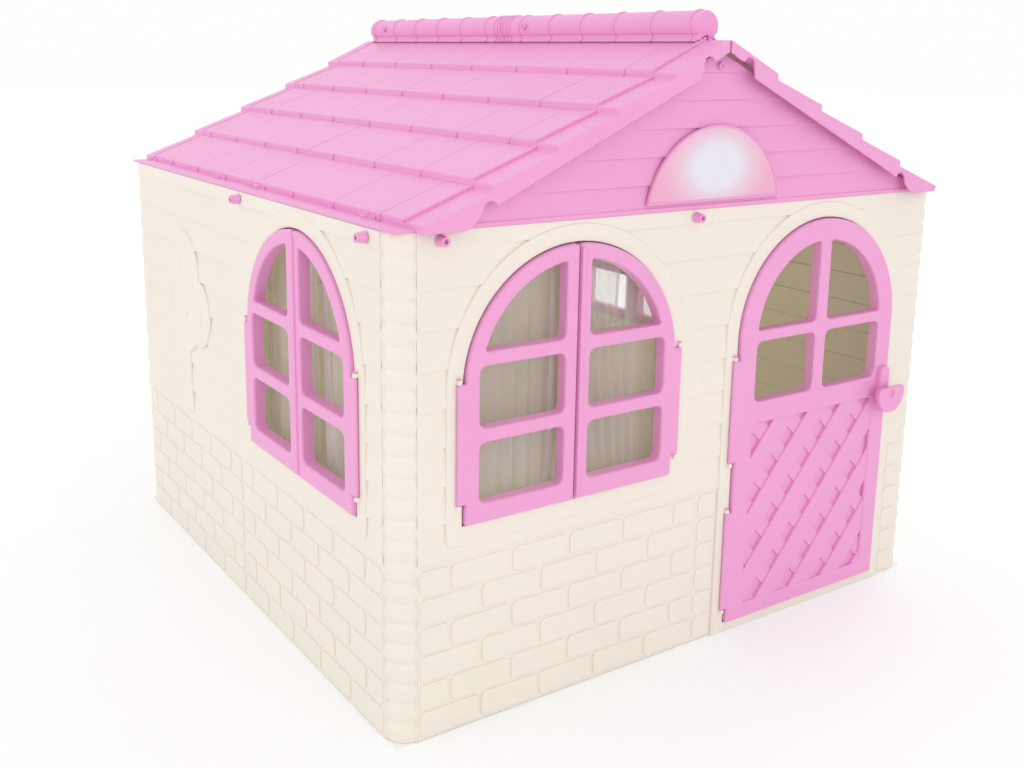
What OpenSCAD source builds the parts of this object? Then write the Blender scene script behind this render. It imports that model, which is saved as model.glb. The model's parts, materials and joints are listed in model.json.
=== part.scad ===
// Children's plastic playhouse: moulded wall panels between ribbed corner
// columns, two gables, a four-piece roof with a two-piece ridge cap,
// arched windows with hinged shutters, and a half-glazed door.
// The origin is on the floor at the middle of the four walls. The front faces -Y.

/* [Walls] */
// Outer width and depth of the square house
house_w = 1290; // [1200:10:1400]
// Height of the walls
wall_h = 850; // [830:5:900]
// Thickness of the moulded skin
skin_t = 4; // [3:0.5:5]
// Height of one siding board
board_h = 64.2; // [60:0.1:70]
// How far each board's lower edge stands out
board_step = 4; // [2:0.5:5]
// Height of the top board, which is cut short
top_board_h = 26; // [22:1:30]
// Height of one brick course, joint included
brick_h = 50; // [46:1:54]
// Number of brick courses
brick_rows = 6; // [4:1:6]
// How far a brick stands out
brick_proud = 3; // [1:0.5:4]

/* [Corner columns] */
// Radius of a corner column
column_r = 40; // [36:1:50]
// Number of rings up a column
column_rings = 24; // [16:1:30]

/* [Windows] */
// Half width of a window's pair of shutters, and the radius of their arch
window_r = 220; // [200:2:230]
// Height of the bottom of the shutters
window_z0 = 366; // [350:2:380]
// Height of the top of the shutters
window_z1 = 812; // [800:1:815]
// Gap between two closed shutters
leaf_gap = 3; // [2:0.5:5]
// Width of a shutter's outer stile
stile_w = 26; // [20:1:32]
// Width of a shutter's meeting stile and cross bars
bar_w = 24; // [18:1:28]
// Width of a shutter's bottom rail
rail_w = 33; // [24:1:36]
// Height of each of a shutter's two lower openings
pane_h = 103; // [90:1:106]

/* [Door] */
// Half width of the door, and the radius of its arch
door_r = 218; // [200:2:226]
// Height of the bottom of the door
door_z0 = 22; // [18:1:30]
// Width of the door's stiles
door_stile_w = 42; // [36:1:50]
// Width of the upright bar between the door's openings
door_bar_w = 30; // [22:1:34]
// Width of the cross bar between the door's openings
door_cross_w = 22; // [18:1:26]
// Height of the bottom of the lattice field
lattice_z0 = 53; // [48:1:60]
// Height of the top of the lattice field
lattice_z1 = 425; // [400:5:435]
// Width of a lattice band
lattice_w = 46; // [40:1:52]
// Distance between two lattice bands
lattice_pitch = 74.5; // [68:0.5:84]
// Lean of the lattice bands, in degrees
lattice_lean = 50; // [42:1:54]
// Width of a slat behind the bands
slat_w = 33; // [26:1:40]
// Distance between two slats
slat_pitch = 65; // [58:1:74]
// Height of the bottom of the lower openings
door_pane_z0 = 469; // [460:1:480]

/* [Leaves] */
// Depth of a shutter or the door, front to back
leaf_d = 24; // [20:1:26]
// How far a shutter or the door stands out from the wall
leaf_proud = 14; // [12:1:16]
// Gap between a leaf and its opening
leaf_clear = 2; // [1.5:0.5:3]
// Width of the trim band around an opening
trim_w = 32; // [26:1:36]
// How far the trim band stands out
trim_proud = 6; // [5:0.5:7]

/* [Hinges and latch] */
// Radius of a hinge rod
rod_r = 2.2; // [1.8:0.1:2.4]
// Running clearance between a turning piece and its rod or axle
run_clear = 0.08; // [0.04:0.01:0.1]
// Length of one hinge strip
strip_len = 202; // [160:2:220]
// Radius of the latch knob
knob_r = 40; // [34:1:44]
// Radius of the latch axle
axle_r = 6; // [5:0.5:7]
// Height of the latch axle
latch_z = 436; // [430:1:440]

/* [Roof] */
// Rise of the roof from the top of the eave to the ridge
roof_rise = 281; // [260:1:300]
// Height of the eave's edge above the wall
eave_h = 16; // [14:1:20]
// How far the eave's edge lies inside the wall's outer face
eave_in = 38; // [34:1:42]
// How far the roof stands out past the front and back walls
gable_overhang = 28; // [20:1:36]
// Tile courses on each slope
courses = 5; // [4:1:6]
// Height of the step at each course
course_step = 11; // [8:0.5:13]
// Thickness of the roof sheet, measured upright
roof_t = 6; // [5:0.5:7]
// Width of the lowered border at a gable end
border_w = 60; // [50:1:70]
// Drop of the fascia below the border
fascia_h = 40; // [34:1:44]

/* [Ridge cap] */
// Radius of the round top of the ridge cap
cap_r = 28; // [26:1:32]
// Height of the centre of the round top above the ridge
cap_lift = 20; // [18:1:24]
// Number of rings on each cap
cap_rings = 6; // [4:1:8]

/* [Fixings] */
// Radius of a wall bolt's head at its base
bolt_head_r = 9.5; // [8:0.5:11]
// Length of a wall bolt's head
bolt_head_len = 17; // [14:1:22]
// Radius of a wall bolt's shank
bolt_r = 6; // [5:0.5:7]
// Radius of a wall bolt's nut
nut_r = 11; // [9:0.5:12]
// Thickness of a wall bolt's nut
nut_t = 7; // [5:0.5:9]
// Distance of a wall bolt below the top of the wall
bolt_drop = 14; // [12:1:16]
// Distance of a wall bolt from the middle of its panel
bolt_x = 263; // [255:1:268]

/* [Curtains] */
// Radius of a curtain rod
curtain_rod_r = 3; // [2:0.5:4]
// Distance of a curtain rod behind the wall
curtain_y = 40; // [36:1:50]
// Height of a curtain
curtain_h = 440; // [400:2:460]
// Depth of a curtain's folds
curtain_d = 14; // [10:1:20]

/* [Hidden] */
$fn = 64;
fit = 0.3;                                  // gap between pieces that only touch
cream = "#f3ebdd";
pink = "#f3a5dd";
half = house_w / 2;
panel_w = half - column_r;                  // from the seam to the column
panel_mid = panel_w / 2;
brick_top = brick_h * brick_rows + 6;
window_spring = window_z1 - window_r;
door_z1 = window_z1;
door_spring = door_z1 - door_r;
leaf_y0 = -leaf_proud;                      // front of a leaf, in wall coordinates
leaf_y1 = leaf_d - leaf_proud;              // back of a leaf
ledge_y = leaf_y1 + 0.6;                    // front of the ledge that stops a leaf
ledge_t = 3;
barrel_r = 3.75;                            // round edge of a hinge strip
strip_w = 16;
hinge_y = leaf_y0 + barrel_r - 0.05;
eye_h = 7.5;
window_hinge_x = window_r + strip_w - barrel_r - 0.25;
door_hinge_x = door_r + strip_w - barrel_r - 0.25;
window_strip_z = 403;
door_strips = [52 + fit, 356];
lip_t = 4;                                  // tabs that the wall bolts pass through
lip_y = skin_t + fit;
lip_h = 28;
seam_d = 22;                                // depth of a panel's return at the seam
tongue_y = 10;                              // front of the tongue that enters a column
tongue_w = 12;
seam_top = wall_h - lip_h - 4;
pane_corner_r = 12;
bolt_z = wall_h - bolt_drop;
latch_x = door_r - door_stile_w / 2;
catch_y = ledge_y + ledge_t + 1;
eave_x = half - eave_in;
eave_z = wall_h + eave_h;
ridge_z = eave_z + roof_rise;
slope = roof_rise / eave_x;
course_w = eave_x / courses;
roof_end = half + gable_overhang;
ridge_gap = 2;                              // from the middle plane to each upstand
upstand_top = ridge_z + cap_lift + cap_r - skin_t - 2;
seam_gap = 0.5;
riser_t = 4;                                // thickness of the sheet at each step
cap_z = ridge_z + cap_lift;
cap_end = roof_end - border_w;
screw_z = cap_z + 4;
screw_r = 4;
front_screw_y = -90;
back_screw_y = cap_end - 80;
badge_w = 320;
badge_h = 134;
badge_z = wall_h + 14;
badge_peg_x = 90;
badge_peg_r = 3;
gable_board = 47.5;
border_drop = 4;                            // border of the roof below its field
bead_h = 2;                                 // bead at the border above the field
under_drop = course_step + roof_t + slope * riser_t;    // lowest underside of the field
gable_drop = under_drop + border_drop + fit;            // gable edge below the roof's line
rim_t = 5;
apex_z = ridge_z - 48;                      // height of the screw at each peak
peak_notch_x = 50;                          // notch of the fascia beside the peak
eave_boss_r = 9;
front_bosses = [-490, -40];                 // bosses along the eave, from the middle
back_bosses = [-620, -170];
curtain_z = bolt_z - 36;
boss_out = 12;                              // latch boss in front of the door's face
neck_len = 8;
turn_t = 12;                                // thickness of the thumb turn

// ---- placing ----

// Puts wall coordinates (x to the right, y inwards from the wall's outer
// plane, z up) on one side of the house: 0 front, 1 right, 2 back, 3 left.
module on_side(side) {
    rotate([0, 0, 90 * side]) translate([0, -half, 0]) children();
}

// Extrudes a drawing of (across, up) through the wall from y0 to y1.
module through(y0, y1) {
    translate([0, y1, 0]) rotate([90, 0, 0]) linear_extrude(y1 - y0) children();
}

// Extrudes a drawing of (inwards, up) along the wall from x0 to x1.
module along(x0, x1) {
    translate([x0, 0, 0]) rotate([90, 0, 90]) linear_extrude(x1 - x0) children();
}

module box(low, high) {
    translate(low) cube(high - low);
}

// ---- drawings ----

module arch(r, z0, spring) {
    translate([-r, z0]) square([2 * r, spring - z0]);
    translate([0, spring]) circle(r, $fn = 128);
}

// A rectangle with round corners.
module rounded(low, high, r) {
    translate([low[0] + r, low[1]]) square([high[0] - low[0] - 2 * r, high[1] - low[1]]);
    translate([low[0], low[1] + r]) square([high[0] - low[0], high[1] - low[1] - 2 * r]);
    for (x = [low[0] + r, high[0] - r], z = [low[1] + r, high[1] - r])
        translate([x, z]) circle(r, $fn = 32);
}

// A sheet of overlapping boards from z0 up to z1, the top one starting at top_z.
module boards(z0, z1, top_z, pitch) {
    count = floor((top_z - z0 - 1) / pitch);
    tops = [for (k = [0:count]) top_z - (count - k) * pitch];
    outer = concat(
        [[-board_step * (tops[0] - z0) / pitch, z0]],
        [for (z = tops) each [[0, z], [-board_step, z]]],
        [[-board_step + board_step * (z1 - top_z) / pitch, z1]]);
    inner = [for (i = [len(outer) - 1:-1:0])
        [outer[i][0] + skin_t, i == 0 ? z0 : min(outer[i][1] + skin_t, z1)]];
    polygon(concat(outer, inner));
}

// ---- wall panels ----

// Brick courses across a panel, with every second row shifted by half.
module bricks(x0, x1, z1) {
    long = panel_w / 5;
    for (row = [0:brick_rows - 1]) {
        z = 6 + row * brick_h;
        shift = row % 2 == 0 ? 0 : long / 2;
        for (k = [-1:5]) {
            a = max(x0 + 4, -panel_mid + shift + k * long + 2);
            b = min(x1 - 4, -panel_mid + shift + (k + 1) * long - 2);
            if (b - a > 20 && z + brick_h - 4 <= z1)
                box([a, -brick_proud, z], [b, 1, z + brick_h - 4]);
        }
    }
}

// The skin of a panel centred on x = 0, before anything is cut in it.
// seam is 1 if the seam with the other panel is on the right, else -1.
module panel_blank(seam) {
    along(-panel_mid, panel_mid) {
        boards(brick_top, wall_h, wall_h - top_board_h, board_h);
        square([skin_t, brick_top + 0.01]);
    }
    // return at the seam
    x = seam * panel_mid;
    box([min(x, x - seam * skin_t), 0, 0], [max(x, x - seam * skin_t), seam_d, seam_top]);
    // return and tongue at the column
    c = -seam * panel_mid;
    back = tongue_y + skin_t;
    box([min(c, c + seam * skin_t), 0, 0], [max(c, c + seam * skin_t), back, wall_h]);
    box([min(c, c - seam * tongue_w), tongue_y, 0], [max(c, c - seam * tongue_w), back, wall_h - 6]);
}

module bolt_holes() {
    for (x = [-bolt_x, bolt_x])
        translate([x, 0, bolt_z]) rotate([90, 0, 0])
            cylinder(r = bolt_r + fit, h = 60, center = true);
}

// Trim, return and stop ledge around an arched opening of radius r.
module opening_frame(r, z0, spring, trim_z0) {
    hole_r = r + leaf_clear;
    through(-trim_proud, skin_t) difference() {
        arch(r + trim_w, trim_z0, spring);
        arch(hole_r, z0 - leaf_clear, spring);
    }
    through(0, ledge_y + ledge_t) difference() {
        arch(hole_r + skin_t, z0 - leaf_clear - skin_t, spring);
        arch(hole_r, z0 - leaf_clear, spring);
    }
    through(ledge_y, ledge_y + ledge_t) difference() {
        arch(hole_r + 1, z0 - leaf_clear - 1, spring);
        arch(r - 8, trim_z0 > 0 ? z0 + 8 : -1, spring);
    }
}

// Two eyes that hold a hinge rod, above and below a strip.
module hinge_eyes(x, z0) {
    for (z = [z0 - fit - eye_h, z0 + strip_len + fit])
        difference() {
            union() {
                translate([x, hinge_y, z]) cylinder(r = barrel_r, h = eye_h);
                box([x - barrel_r, hinge_y, z], [x + barrel_r, -trim_proud + 1, z + eye_h]);
            }
            translate([x, hinge_y, z - 1]) cylinder(r = rod_r + run_clear, h = eye_h + 2);
        }
}

// Hooks on the inner face that carry a curtain rod.
module curtain_hooks() {
    for (x = [-window_r - 24, window_r + 24])
        difference() {
            box([x - 3, 0, curtain_z - 12], [x + 3, curtain_y + 10, curtain_z + 10]);
            translate([x, curtain_y, curtain_z]) rotate([0, 90, 0])
                cylinder(r = curtain_rod_r + fit, h = 20, center = true);
        }
}

module window_panel(seam) {
    color(cream) translate([-seam * panel_mid, 0, 0]) {
        difference() {
            union() {
                panel_blank(seam);
                bricks(-panel_mid, panel_mid, brick_top);
            }
            through(-20, 9) arch(window_r + leaf_clear, window_z0 - leaf_clear, window_spring);
            bolt_holes();
        }
        opening_frame(window_r, window_z0, window_spring, window_z0 - trim_w - 4);
        for (s = [-1, 1]) hinge_eyes(s * window_hinge_x, window_strip_z);
        curtain_hooks();
    }
}

module door_panel(seam) {
    color(cream) translate([-seam * panel_mid, 0, 0]) {
        difference() {
            union() {
                panel_blank(seam);
                for (s = [-1, 1])
                    bricks(s > 0 ? door_r + trim_w : -panel_mid,
                        s > 0 ? panel_mid : -door_r - trim_w, brick_top);
            }
            through(-20, 9) arch(door_r + leaf_clear, door_z0 - leaf_clear, door_spring);
        }
        opening_frame(door_r, door_z0, door_spring, 0);
        for (z = door_strips) hinge_eyes(-door_hinge_x, z);
    }
}

// A plain panel that carries a raised tree.
module tree_panel(seam, bolted) {
    color(cream) translate([-seam * panel_mid, 0, 0]) difference() {
        union() {
            panel_blank(seam);
            bricks(-panel_mid, panel_mid, brick_top);
            through(-board_step - 3, 1) tree();
        }
        if (bolted) bolt_holes();
    }
}

module tree() {
    translate([-22, brick_top + 12]) square([44, 170]);
    for (p = [[-80, 560, 74], [80, 560, 74], [0, 640, 92], [0, 540, 80]])
        translate([p[0], p[1]]) circle(p[2]);
}

// ---- columns and joint channels ----

// The corner column whose outer corner lies at the origin, seen from above.
module column() {
    ring = wall_h / column_rings;
    color(cream) {
        translate([column_r, column_r, 0]) rotate([0, 0, 180]) {
            rotate_extrude(angle = 90) {
                translate([column_r - 7, 0]) square([5, wall_h]);
                for (k = [0:column_rings - 1])
                    intersection() {
                        translate([column_r - 50, (k + 0.5) * ring]) circle(50);
                        translate([column_r - 6, k * ring]) square([6, ring]);
                    }
            }
            rotate_extrude(angle = 90) translate([0, wall_h - skin_t]) square([column_r - 4, skin_t]);
        }
        column_socket();
        mirror([1, -1, 0]) column_socket();
    }
}

// The slot that takes a panel's tongue.
module column_socket() {
    front = tongue_y + skin_t + fit;
    end = column_r - tongue_w - 1;
    box([end - 3, 7, 0], [end, front + 3, wall_h - skin_t]);
    box([end - 3, front, 0], [column_r - fit, front + 3, wall_h - skin_t]);
}

module joint_channel() {
    w = skin_t + fit;
    color(cream) {
        for (s = [-1, 1])
            box([min(s * w, s * (w + 3)), 8, 0], [max(s * w, s * (w + 3)), seam_d + fit + 3, seam_top]);
        box([-w - 3, seam_d + fit, 0], [w + 3, seam_d + fit + 3, seam_top]);
    }
}

// ---- gables ----

// Height under the roof line at a distance x from the middle.
function roof_line(x) = ridge_z - slope * abs(x);

// Underside of the roof's top course beside the peak.
function peak_under(x) =
    ridge_z - roof_t - (x - ridge_gap) * roof_rise / courses / (course_w - riser_t - ridge_gap);

module gable_outline(drop, z0) {
    foot = (ridge_z - drop - z0) / slope;
    polygon([[-foot, z0], [foot, z0], [0, ridge_z - drop]]);
}

module gable(badge) {
    base = wall_h + fit;
    top = base + gable_board * 5;
    color(pink) difference() {
        union() {
            intersection() {
                along(-half, half) boards(base, top + gable_board, top, gable_board);
                through(-20, 30) gable_outline(gable_drop, base);
            }
            // rim along both slopes, under the roof
            through(1, 22) difference() {
                gable_outline(gable_drop, base);
                gable_outline(gable_drop + rim_t, base - 1);
            }
            // tab behind the wall, for the bolts
            box([-half + 52, lip_y, wall_h - lip_h], [half - 52, lip_y + lip_t, base + 4]);
        }
        translate([-panel_mid, 0, 0]) bolt_holes();
        translate([0, 0, apex_z]) rotate([90, 0, 0])
            cylinder(r = screw_r + fit, h = 60, center = true);
        if (badge) for (x = [-badge_peg_x, badge_peg_x])
            translate([x, 0, badge_z + 30]) rotate([90, 0, 0])
                cylinder(r = badge_peg_r + fit, h = 60, center = true);
    }
}

// Half-round plaque, bare, with two pegs into the gable.
module badge_plaque() {
    r = (badge_w * badge_w / 4 + badge_h * badge_h) / (2 * badge_h);
    on_side(0) color("#f7e3ee") {
        through(-board_step - 6.3, -board_step - fit) intersection() {
            translate([0, badge_z + badge_h - r]) circle(r, $fn = 128);
            translate([-badge_w / 2, badge_z]) square([badge_w, badge_h]);
        }
        for (x = [-badge_peg_x, badge_peg_x])
            translate([x, skin_t + 4, badge_z + 30]) rotate([90, 0, 0])
                cylinder(r = badge_peg_r, h = skin_t + board_step + 5);
    }
}

// ---- roof ----

// Top of the slope that falls to -X, from the eave up, dropped by `low`.
function slope_top(low) = [for (k = [0:courses - 1]) each [
    [-eave_x + k * course_w, eave_z + k * roof_rise / courses - low],
    [min(-eave_x + (k + 1) * course_w, -ridge_gap),
        eave_z + (k + 1) * roof_rise / courses - low - (k < courses - 1 ? course_step : 0)]]];

function backwards(points) = [for (i = [len(points) - 1:-1:0]) points[i]];

// Cross-section of the same slope.
module slope_section(low, t) {
    top = slope_top(low);
    under = [for (p = top) [min(p[0] + riser_t, -ridge_gap), p[1] - t]];
    polygon(concat(top, backwards(under)));
}

// The fascia that hangs at a gable end, with its hook and apex notch.
module fascia() {
    foot_x = -half + 111;
    notch_x = -half + 155;
    neck_x = notch_x + 20;
    low_z = ridge_z - 2 * fascia_h;
    difference() {
        polygon(concat([
            [-eave_x, wall_h + fit], [foot_x, wall_h + fit], [foot_x + 22, wall_h + 16],
            [neck_x, roof_line(neck_x) - fascia_h], [-ridge_gap, ridge_z - fascia_h]],
            backwards(slope_top(border_drop + 1))));
        translate([notch_x, wall_h + 30]) circle(13);
        translate([-peak_notch_x, roof_line(peak_notch_x) - fascia_h + 7]) circle(14);
        // recess around the screw at the peak
        polygon([[-31, low_z], [-31, roof_line(31) - 20], [0, ridge_z - 25],
            [1, ridge_z - 25], [1, low_z]]);
    }
}

// Extrudes a drawing of (x, z) from y0 to y1.
module span(y0, y1) {
    translate([0, y1, 0]) rotate([90, 0, 0]) linear_extrude(y1 - y0) children();
}

// A straight strip down the left slope, between two drops below the roof's line.
module slope_strip(top, bottom) {
    x0 = -eave_x + 12;
    x1 = -ridge_gap - skin_t - 2;
    polygon([
        [x0, roof_line(x0) - bottom], [x1, roof_line(x1) - bottom],
        [x1, roof_line(x1) - top], [x0, roof_line(x0) - top]]);
}

// One quarter of the roof, on the left at the front. The back quarters lap
// under the front ones. Bolted ones take the wall bolts of a window's panel.
module roof_quarter(lap, bolted, screw_y, bosses) {
    field_y = -roof_end + border_w;
    edge_y = -seam_gap / 2;
    tab_y = -half + column_r + 20;
    color(pink) difference() {
        union() {
            span(field_y, edge_y) slope_section(0, roof_t);
            span(-roof_end, field_y + 3) slope_section(border_drop, roof_t);
            // bead between the field and the border
            span(field_y, field_y + 4) slope_section(-bead_h, roof_t + border_drop);
            span(-roof_end, -roof_end + skin_t) fascia();
            // eave: upright edge, flange on the wall, and tab behind it
            box([-eave_x, -roof_end, wall_h + fit], [-eave_x + skin_t, edge_y, eave_z - 4]);
            box([-half - 2, -half, wall_h + fit], [-eave_x + 2, edge_y, wall_h + fit + 4]);
            box([-half + lip_y, tab_y, wall_h - lip_h], [-half + lip_y + lip_t, edge_y, wall_h + 4]);
            // upstand at the ridge, inside the cap
            box([-ridge_gap - skin_t, -cap_end + 12, ridge_z - roof_t],
                [-ridge_gap, edge_y, upstand_top]);
            for (y = bosses)
                translate([-eave_x, y, wall_h + fit]) cylinder(r = eave_boss_r, h = eave_h - 4, $fn = 32);
            if (lap) {
                span(-20, 24) slope_strip(under_drop + fit, under_drop + fit + 3);
                span(-20, edge_y) slope_strip(course_step + roof_t - 1, under_drop + fit + 3);
            }
        }
        if (bolted)
            for (s = [-1, 1])
                translate([-half, -half + column_r + panel_mid + s * bolt_x, bolt_z]) rotate([0, 90, 0])
                    cylinder(r = bolt_r + fit, h = 60, center = true);
        translate([0, screw_y, screw_z]) rotate([0, 90, 0])
            cylinder(r = screw_r + fit, h = 60, center = true);
    }
}

// The front piece of the ridge cap, with one cross hole at screw_y.
module ridge_cap(screw_y) {
    neck_w = 24;
    over = bead_h + slope * ridge_gap + fit;
    pitch = (cap_end - 12) / (cap_rings - 1);
    module hood(grow) {
        translate([0, cap_z]) circle(cap_r + grow);
        translate([-neck_w - grow, ridge_z - 12])
            square([2 * (neck_w + grow), cap_z - ridge_z + 12]);
    }
    color(pink) difference() {
        union() {
            span(-cap_end, -seam_gap / 2) hood(0);
            for (k = [0:cap_rings - 1])
                span(-cap_end + 4 + k * pitch, -cap_end + 8 + k * pitch) hood(1.5);
        }
        span(-cap_end + skin_t, 1) {
            translate([0, cap_z]) circle(cap_r - skin_t);
            translate([-neck_w + skin_t, ridge_z - 20])
                square([2 * (neck_w - skin_t), cap_z - ridge_z + 20]);
        }
        // clears both slopes
        span(-cap_end - 5, 5)
            polygon([[0, ridge_z + over], [60, roof_line(60) + over], [60, ridge_z - 90],
                [-60, ridge_z - 90], [-60, roof_line(60) + over]]);
        translate([0, screw_y, screw_z]) rotate([0, 90, 0])
            cylinder(r = screw_r + fit, h = 90, center = true);
    }
}

// ---- fixings ----

// A star socket cut from the end of a head.
module star(r, depth) {
    for (a = [0:60:120])
        rotate([0, 0, a]) translate([-r, -r * 0.22, -depth]) cube([2 * r, r * 0.44, 2 * depth]);
}

module screw(head_r, tip_r, head_len, shank_r, shank_len) {
    difference() {
        cylinder(r1 = head_r, r2 = tip_r, h = head_len);
        translate([0, 0, head_len]) star(tip_r * 0.6, head_len * 0.3);
    }
    translate([0, 0, -shank_len]) cylinder(r = shank_r, h = shank_len + 0.5);
}

// Turns a screw's axis to point out of the wall.
module outwards(x, y, z) {
    translate([x, y, z]) rotate([90, 0, 0]) children();
}

// Where the bolts go: middle of the panel that carries them, on each side.
function bolt_panel(side) = side % 2 == 1 ? panel_mid : -panel_mid;

module wall_bolts(side) {
    color(pink) on_side(side)
        for (s = [-1, 1])
            outwards(bolt_panel(side) + s * bolt_x, -board_step - fit, bolt_z)
                screw(bolt_head_r, bolt_head_r - 2, bolt_head_len, bolt_r,
                    board_step + lip_y + lip_t + nut_t + 3);
}

module wall_bolt_nuts() {
    color(pink)
        for (side = [0:3]) on_side(side)
            for (s = [-1, 1])
                outwards(bolt_panel(side) + s * bolt_x, lip_y + lip_t + fit + nut_t, bolt_z)
                    difference() {
                        cylinder(r = nut_r, h = nut_t);
                        translate([0, 0, -1]) cylinder(r = bolt_r + run_clear, h = nut_t + 2);
                    }
}

module ridge_screw_places() {
    for (y = [front_screw_y, back_screw_y]) translate([0, y, screw_z]) children();
}

module ridge_screws() {
    color(pink) ridge_screw_places()
        translate([-cap_r - fit, 0, 0]) rotate([0, -90, 0])
            screw(7, 6, 4, screw_r, 2 * cap_r + 8);
}

module ridge_nuts() {
    color(pink) ridge_screw_places()
        translate([cap_r + fit, 0, 0]) rotate([0, 90, 0]) difference() {
            cylinder(r = 8, h = 5);
            translate([0, 0, -1]) cylinder(r = screw_r + run_clear, h = 7);
        }
}

// Brackets that tie each gable's peak to the roof's peak behind it.
module apex_brackets() {
    w = 8;
    t = 3;
    y0 = skin_t + fit;
    y1 = 48;
    arm_z = apex_z + 10;
    color(cream) for (side = [0, 2]) on_side(side) difference() {
        union() {
            box([-w, y0, apex_z - 10], [w, y0 + t, arm_z + t]);
            box([-w, y0, arm_z], [w, y1, arm_z + t]);
            box([-w, y1 - t, arm_z], [w, y1, peak_under(w) - fit]);
        }
        outwards(0, 0, apex_z) cylinder(r = screw_r + run_clear, h = 40, center = true);
    }
}

module apex_screws() {
    color(pink) for (side = [0, 2]) on_side(side)
        outwards(0, -board_step - fit, apex_z) screw(7, 6, 5, screw_r, board_step + 14);
}

// ---- shutters ----

// One shutter's outline, inset by `inset`; side is -1 left, 1 right.
module shutter_outline(side, inset) {
    intersection() {
        arch(window_r - inset, window_z0 + inset, window_spring);
        translate([side > 0 ? leaf_gap / 2 + inset : -window_r, 0])
            square([window_r - leaf_gap / 2 - inset, 2000]);
    }
}

// The three openings of a shutter, grown by `grow`.
module shutter_panes(side, grow) {
    inner = leaf_gap / 2 + bar_w - grow;
    outer = window_r - stile_w + grow;
    low = side > 0 ? inner : -outer;
    high = side > 0 ? outer : -inner;
    z0 = window_z0 + rail_w;
    for (k = [0:1])
        rounded([low, z0 + k * (pane_h + bar_w) - grow],
            [high, z0 + k * (pane_h + bar_w) + pane_h + grow], pane_corner_r + grow);
    intersection() {
        translate([0, window_spring]) circle(outer, $fn = 128);
        translate([low, z0 + 2 * (pane_h + bar_w) - grow]) square([high - low, window_r]);
    }
}

// A hollow-backed leaf: a face sheet with walls around it and its openings.
// The first two children are the outline and the inset outline, the next two
// the openings and the grown openings.
module hollow_leaf() {
    through(leaf_y0, leaf_y0 + skin_t) difference() {
        children(0);
        children(2);
    }
    through(leaf_y0, leaf_y1) difference() {
        union() {
            difference() {
                children(0);
                children(1);
            }
            intersection() {
                children(0);
                children(3);
            }
        }
        children(2);
    }
}

// The strip along a leaf's edge that turns on a hinge rod.
module hinge_strip(side, hinge_x, edge, z0) {
    difference() {
        union() {
            box([min(side * hinge_x, side * (edge - 3)), leaf_y0, z0],
                [max(side * hinge_x, side * (edge - 3)), leaf_y0 + 2 * barrel_r - 0.1, z0 + strip_len]);
            translate([side * hinge_x, hinge_y, z0]) cylinder(r = barrel_r - 0.05, h = strip_len);
        }
        translate([side * hinge_x, hinge_y, z0 - 1]) cylinder(r = rod_r + run_clear, h = strip_len + 2);
    }
}

module shutter(side) {
    color(pink) {
        hollow_leaf() {
            shutter_outline(side, 0);
            shutter_outline(side, skin_t);
            shutter_panes(side, 0);
            shutter_panes(side, skin_t);
        }
        hinge_strip(side, window_hinge_x, window_r, window_strip_z);
    }
}

module hinge_rod(x, z0) {
    translate([x, hinge_y, z0 - fit - eye_h]) cylinder(r = rod_r, h = strip_len + 2 * (fit + eye_h) + 0.5);
    translate([x, hinge_y, z0 + strip_len + fit + eye_h + fit]) cylinder(r = rod_r + 1, h = 2);
}

module window_rods() {
    color(pink) for (s = [-1, 1]) hinge_rod(s * window_hinge_x, window_strip_z);
}

// ---- door and latch ----

module door_panes(grow) {
    inner = door_bar_w / 2 - grow;
    outer = door_r - door_stile_w + grow;
    low_top = door_spring - 6;
    for (s = [-1, 1]) {
        a = s > 0 ? inner : -outer;
        b = s > 0 ? outer : -inner;
        rounded([a, door_pane_z0 - grow], [b, low_top + grow], pane_corner_r + grow);
        intersection() {
            translate([0, door_spring]) circle(outer, $fn = 128);
            translate([a, low_top + door_cross_w - grow]) square([b - a, door_r]);
        }
    }
}

// Crossing strips, the front ones rising to the right.
// Strips at an angle over the lattice field, the middle one moved sideways by `shift`.
module lattice(angle, strip, pitch, shift) {
    field = [2 * (door_r - door_stile_w), lattice_z1 - lattice_z0];
    long = norm(field) + 2 * pitch;
    count = ceil(long / 2 / pitch);
    intersection() {
        square(field, center = true);
        rotate([0, 0, angle]) for (k = [-count:count])
            translate([-long / 2, k * pitch + shift - strip / 2]) square([long, strip]);
    }
}

module door_leaf() {
    field = door_r - door_stile_w;
    mid_z = (lattice_z0 + lattice_z1) / 2;
    color(pink) difference() {
        union() {
            difference() {
                hollow_leaf() {
                    arch(door_r, door_z0, door_spring);
                    arch(door_r - skin_t, door_z0 + skin_t, door_spring);
                    door_panes(0);
                    door_panes(skin_t);
                }
                through(leaf_y0 - 1, leaf_y0 + skin_t + 1)
                    rounded([-field, lattice_z0], [field, lattice_z1], 14);
            }
            through(leaf_y0 + 8, leaf_y0 + 11)
                rounded([-field - 3, lattice_z0 - 3], [field + 3, lattice_z1 + 3], 14);
            through(leaf_y0, leaf_y0 + 11) difference() {
                rounded([-field - 3, lattice_z0 - 3], [field + 3, lattice_z1 + 3], 14);
                rounded([-field, lattice_z0], [field, lattice_z1], 14);
            }
            translate([0, leaf_y0, mid_z]) {
                through(2, 9) lattice(lattice_lean, lattice_w, lattice_pitch, lattice_pitch / 2);
                through(4.5, 9.5) lattice(-45, slat_w, slat_pitch, slat_pitch / 4);
            }
            for (z = door_strips) hinge_strip(-1, door_hinge_x, door_r, z);
            // boss that carries the latch axle
            through(leaf_y0 - boss_out, leaf_y0 + 1)
                rounded([latch_x - 14, latch_z - 21], [latch_x + 14, latch_z + 54], 13.9);
            outwards(latch_x, leaf_y1, latch_z) cylinder(r = axle_r + 4, h = leaf_d);
        }
        outwards(latch_x, leaf_y1 + 1, latch_z)
            cylinder(r = axle_r + run_clear, h = leaf_d + 40);
    }
}

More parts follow.
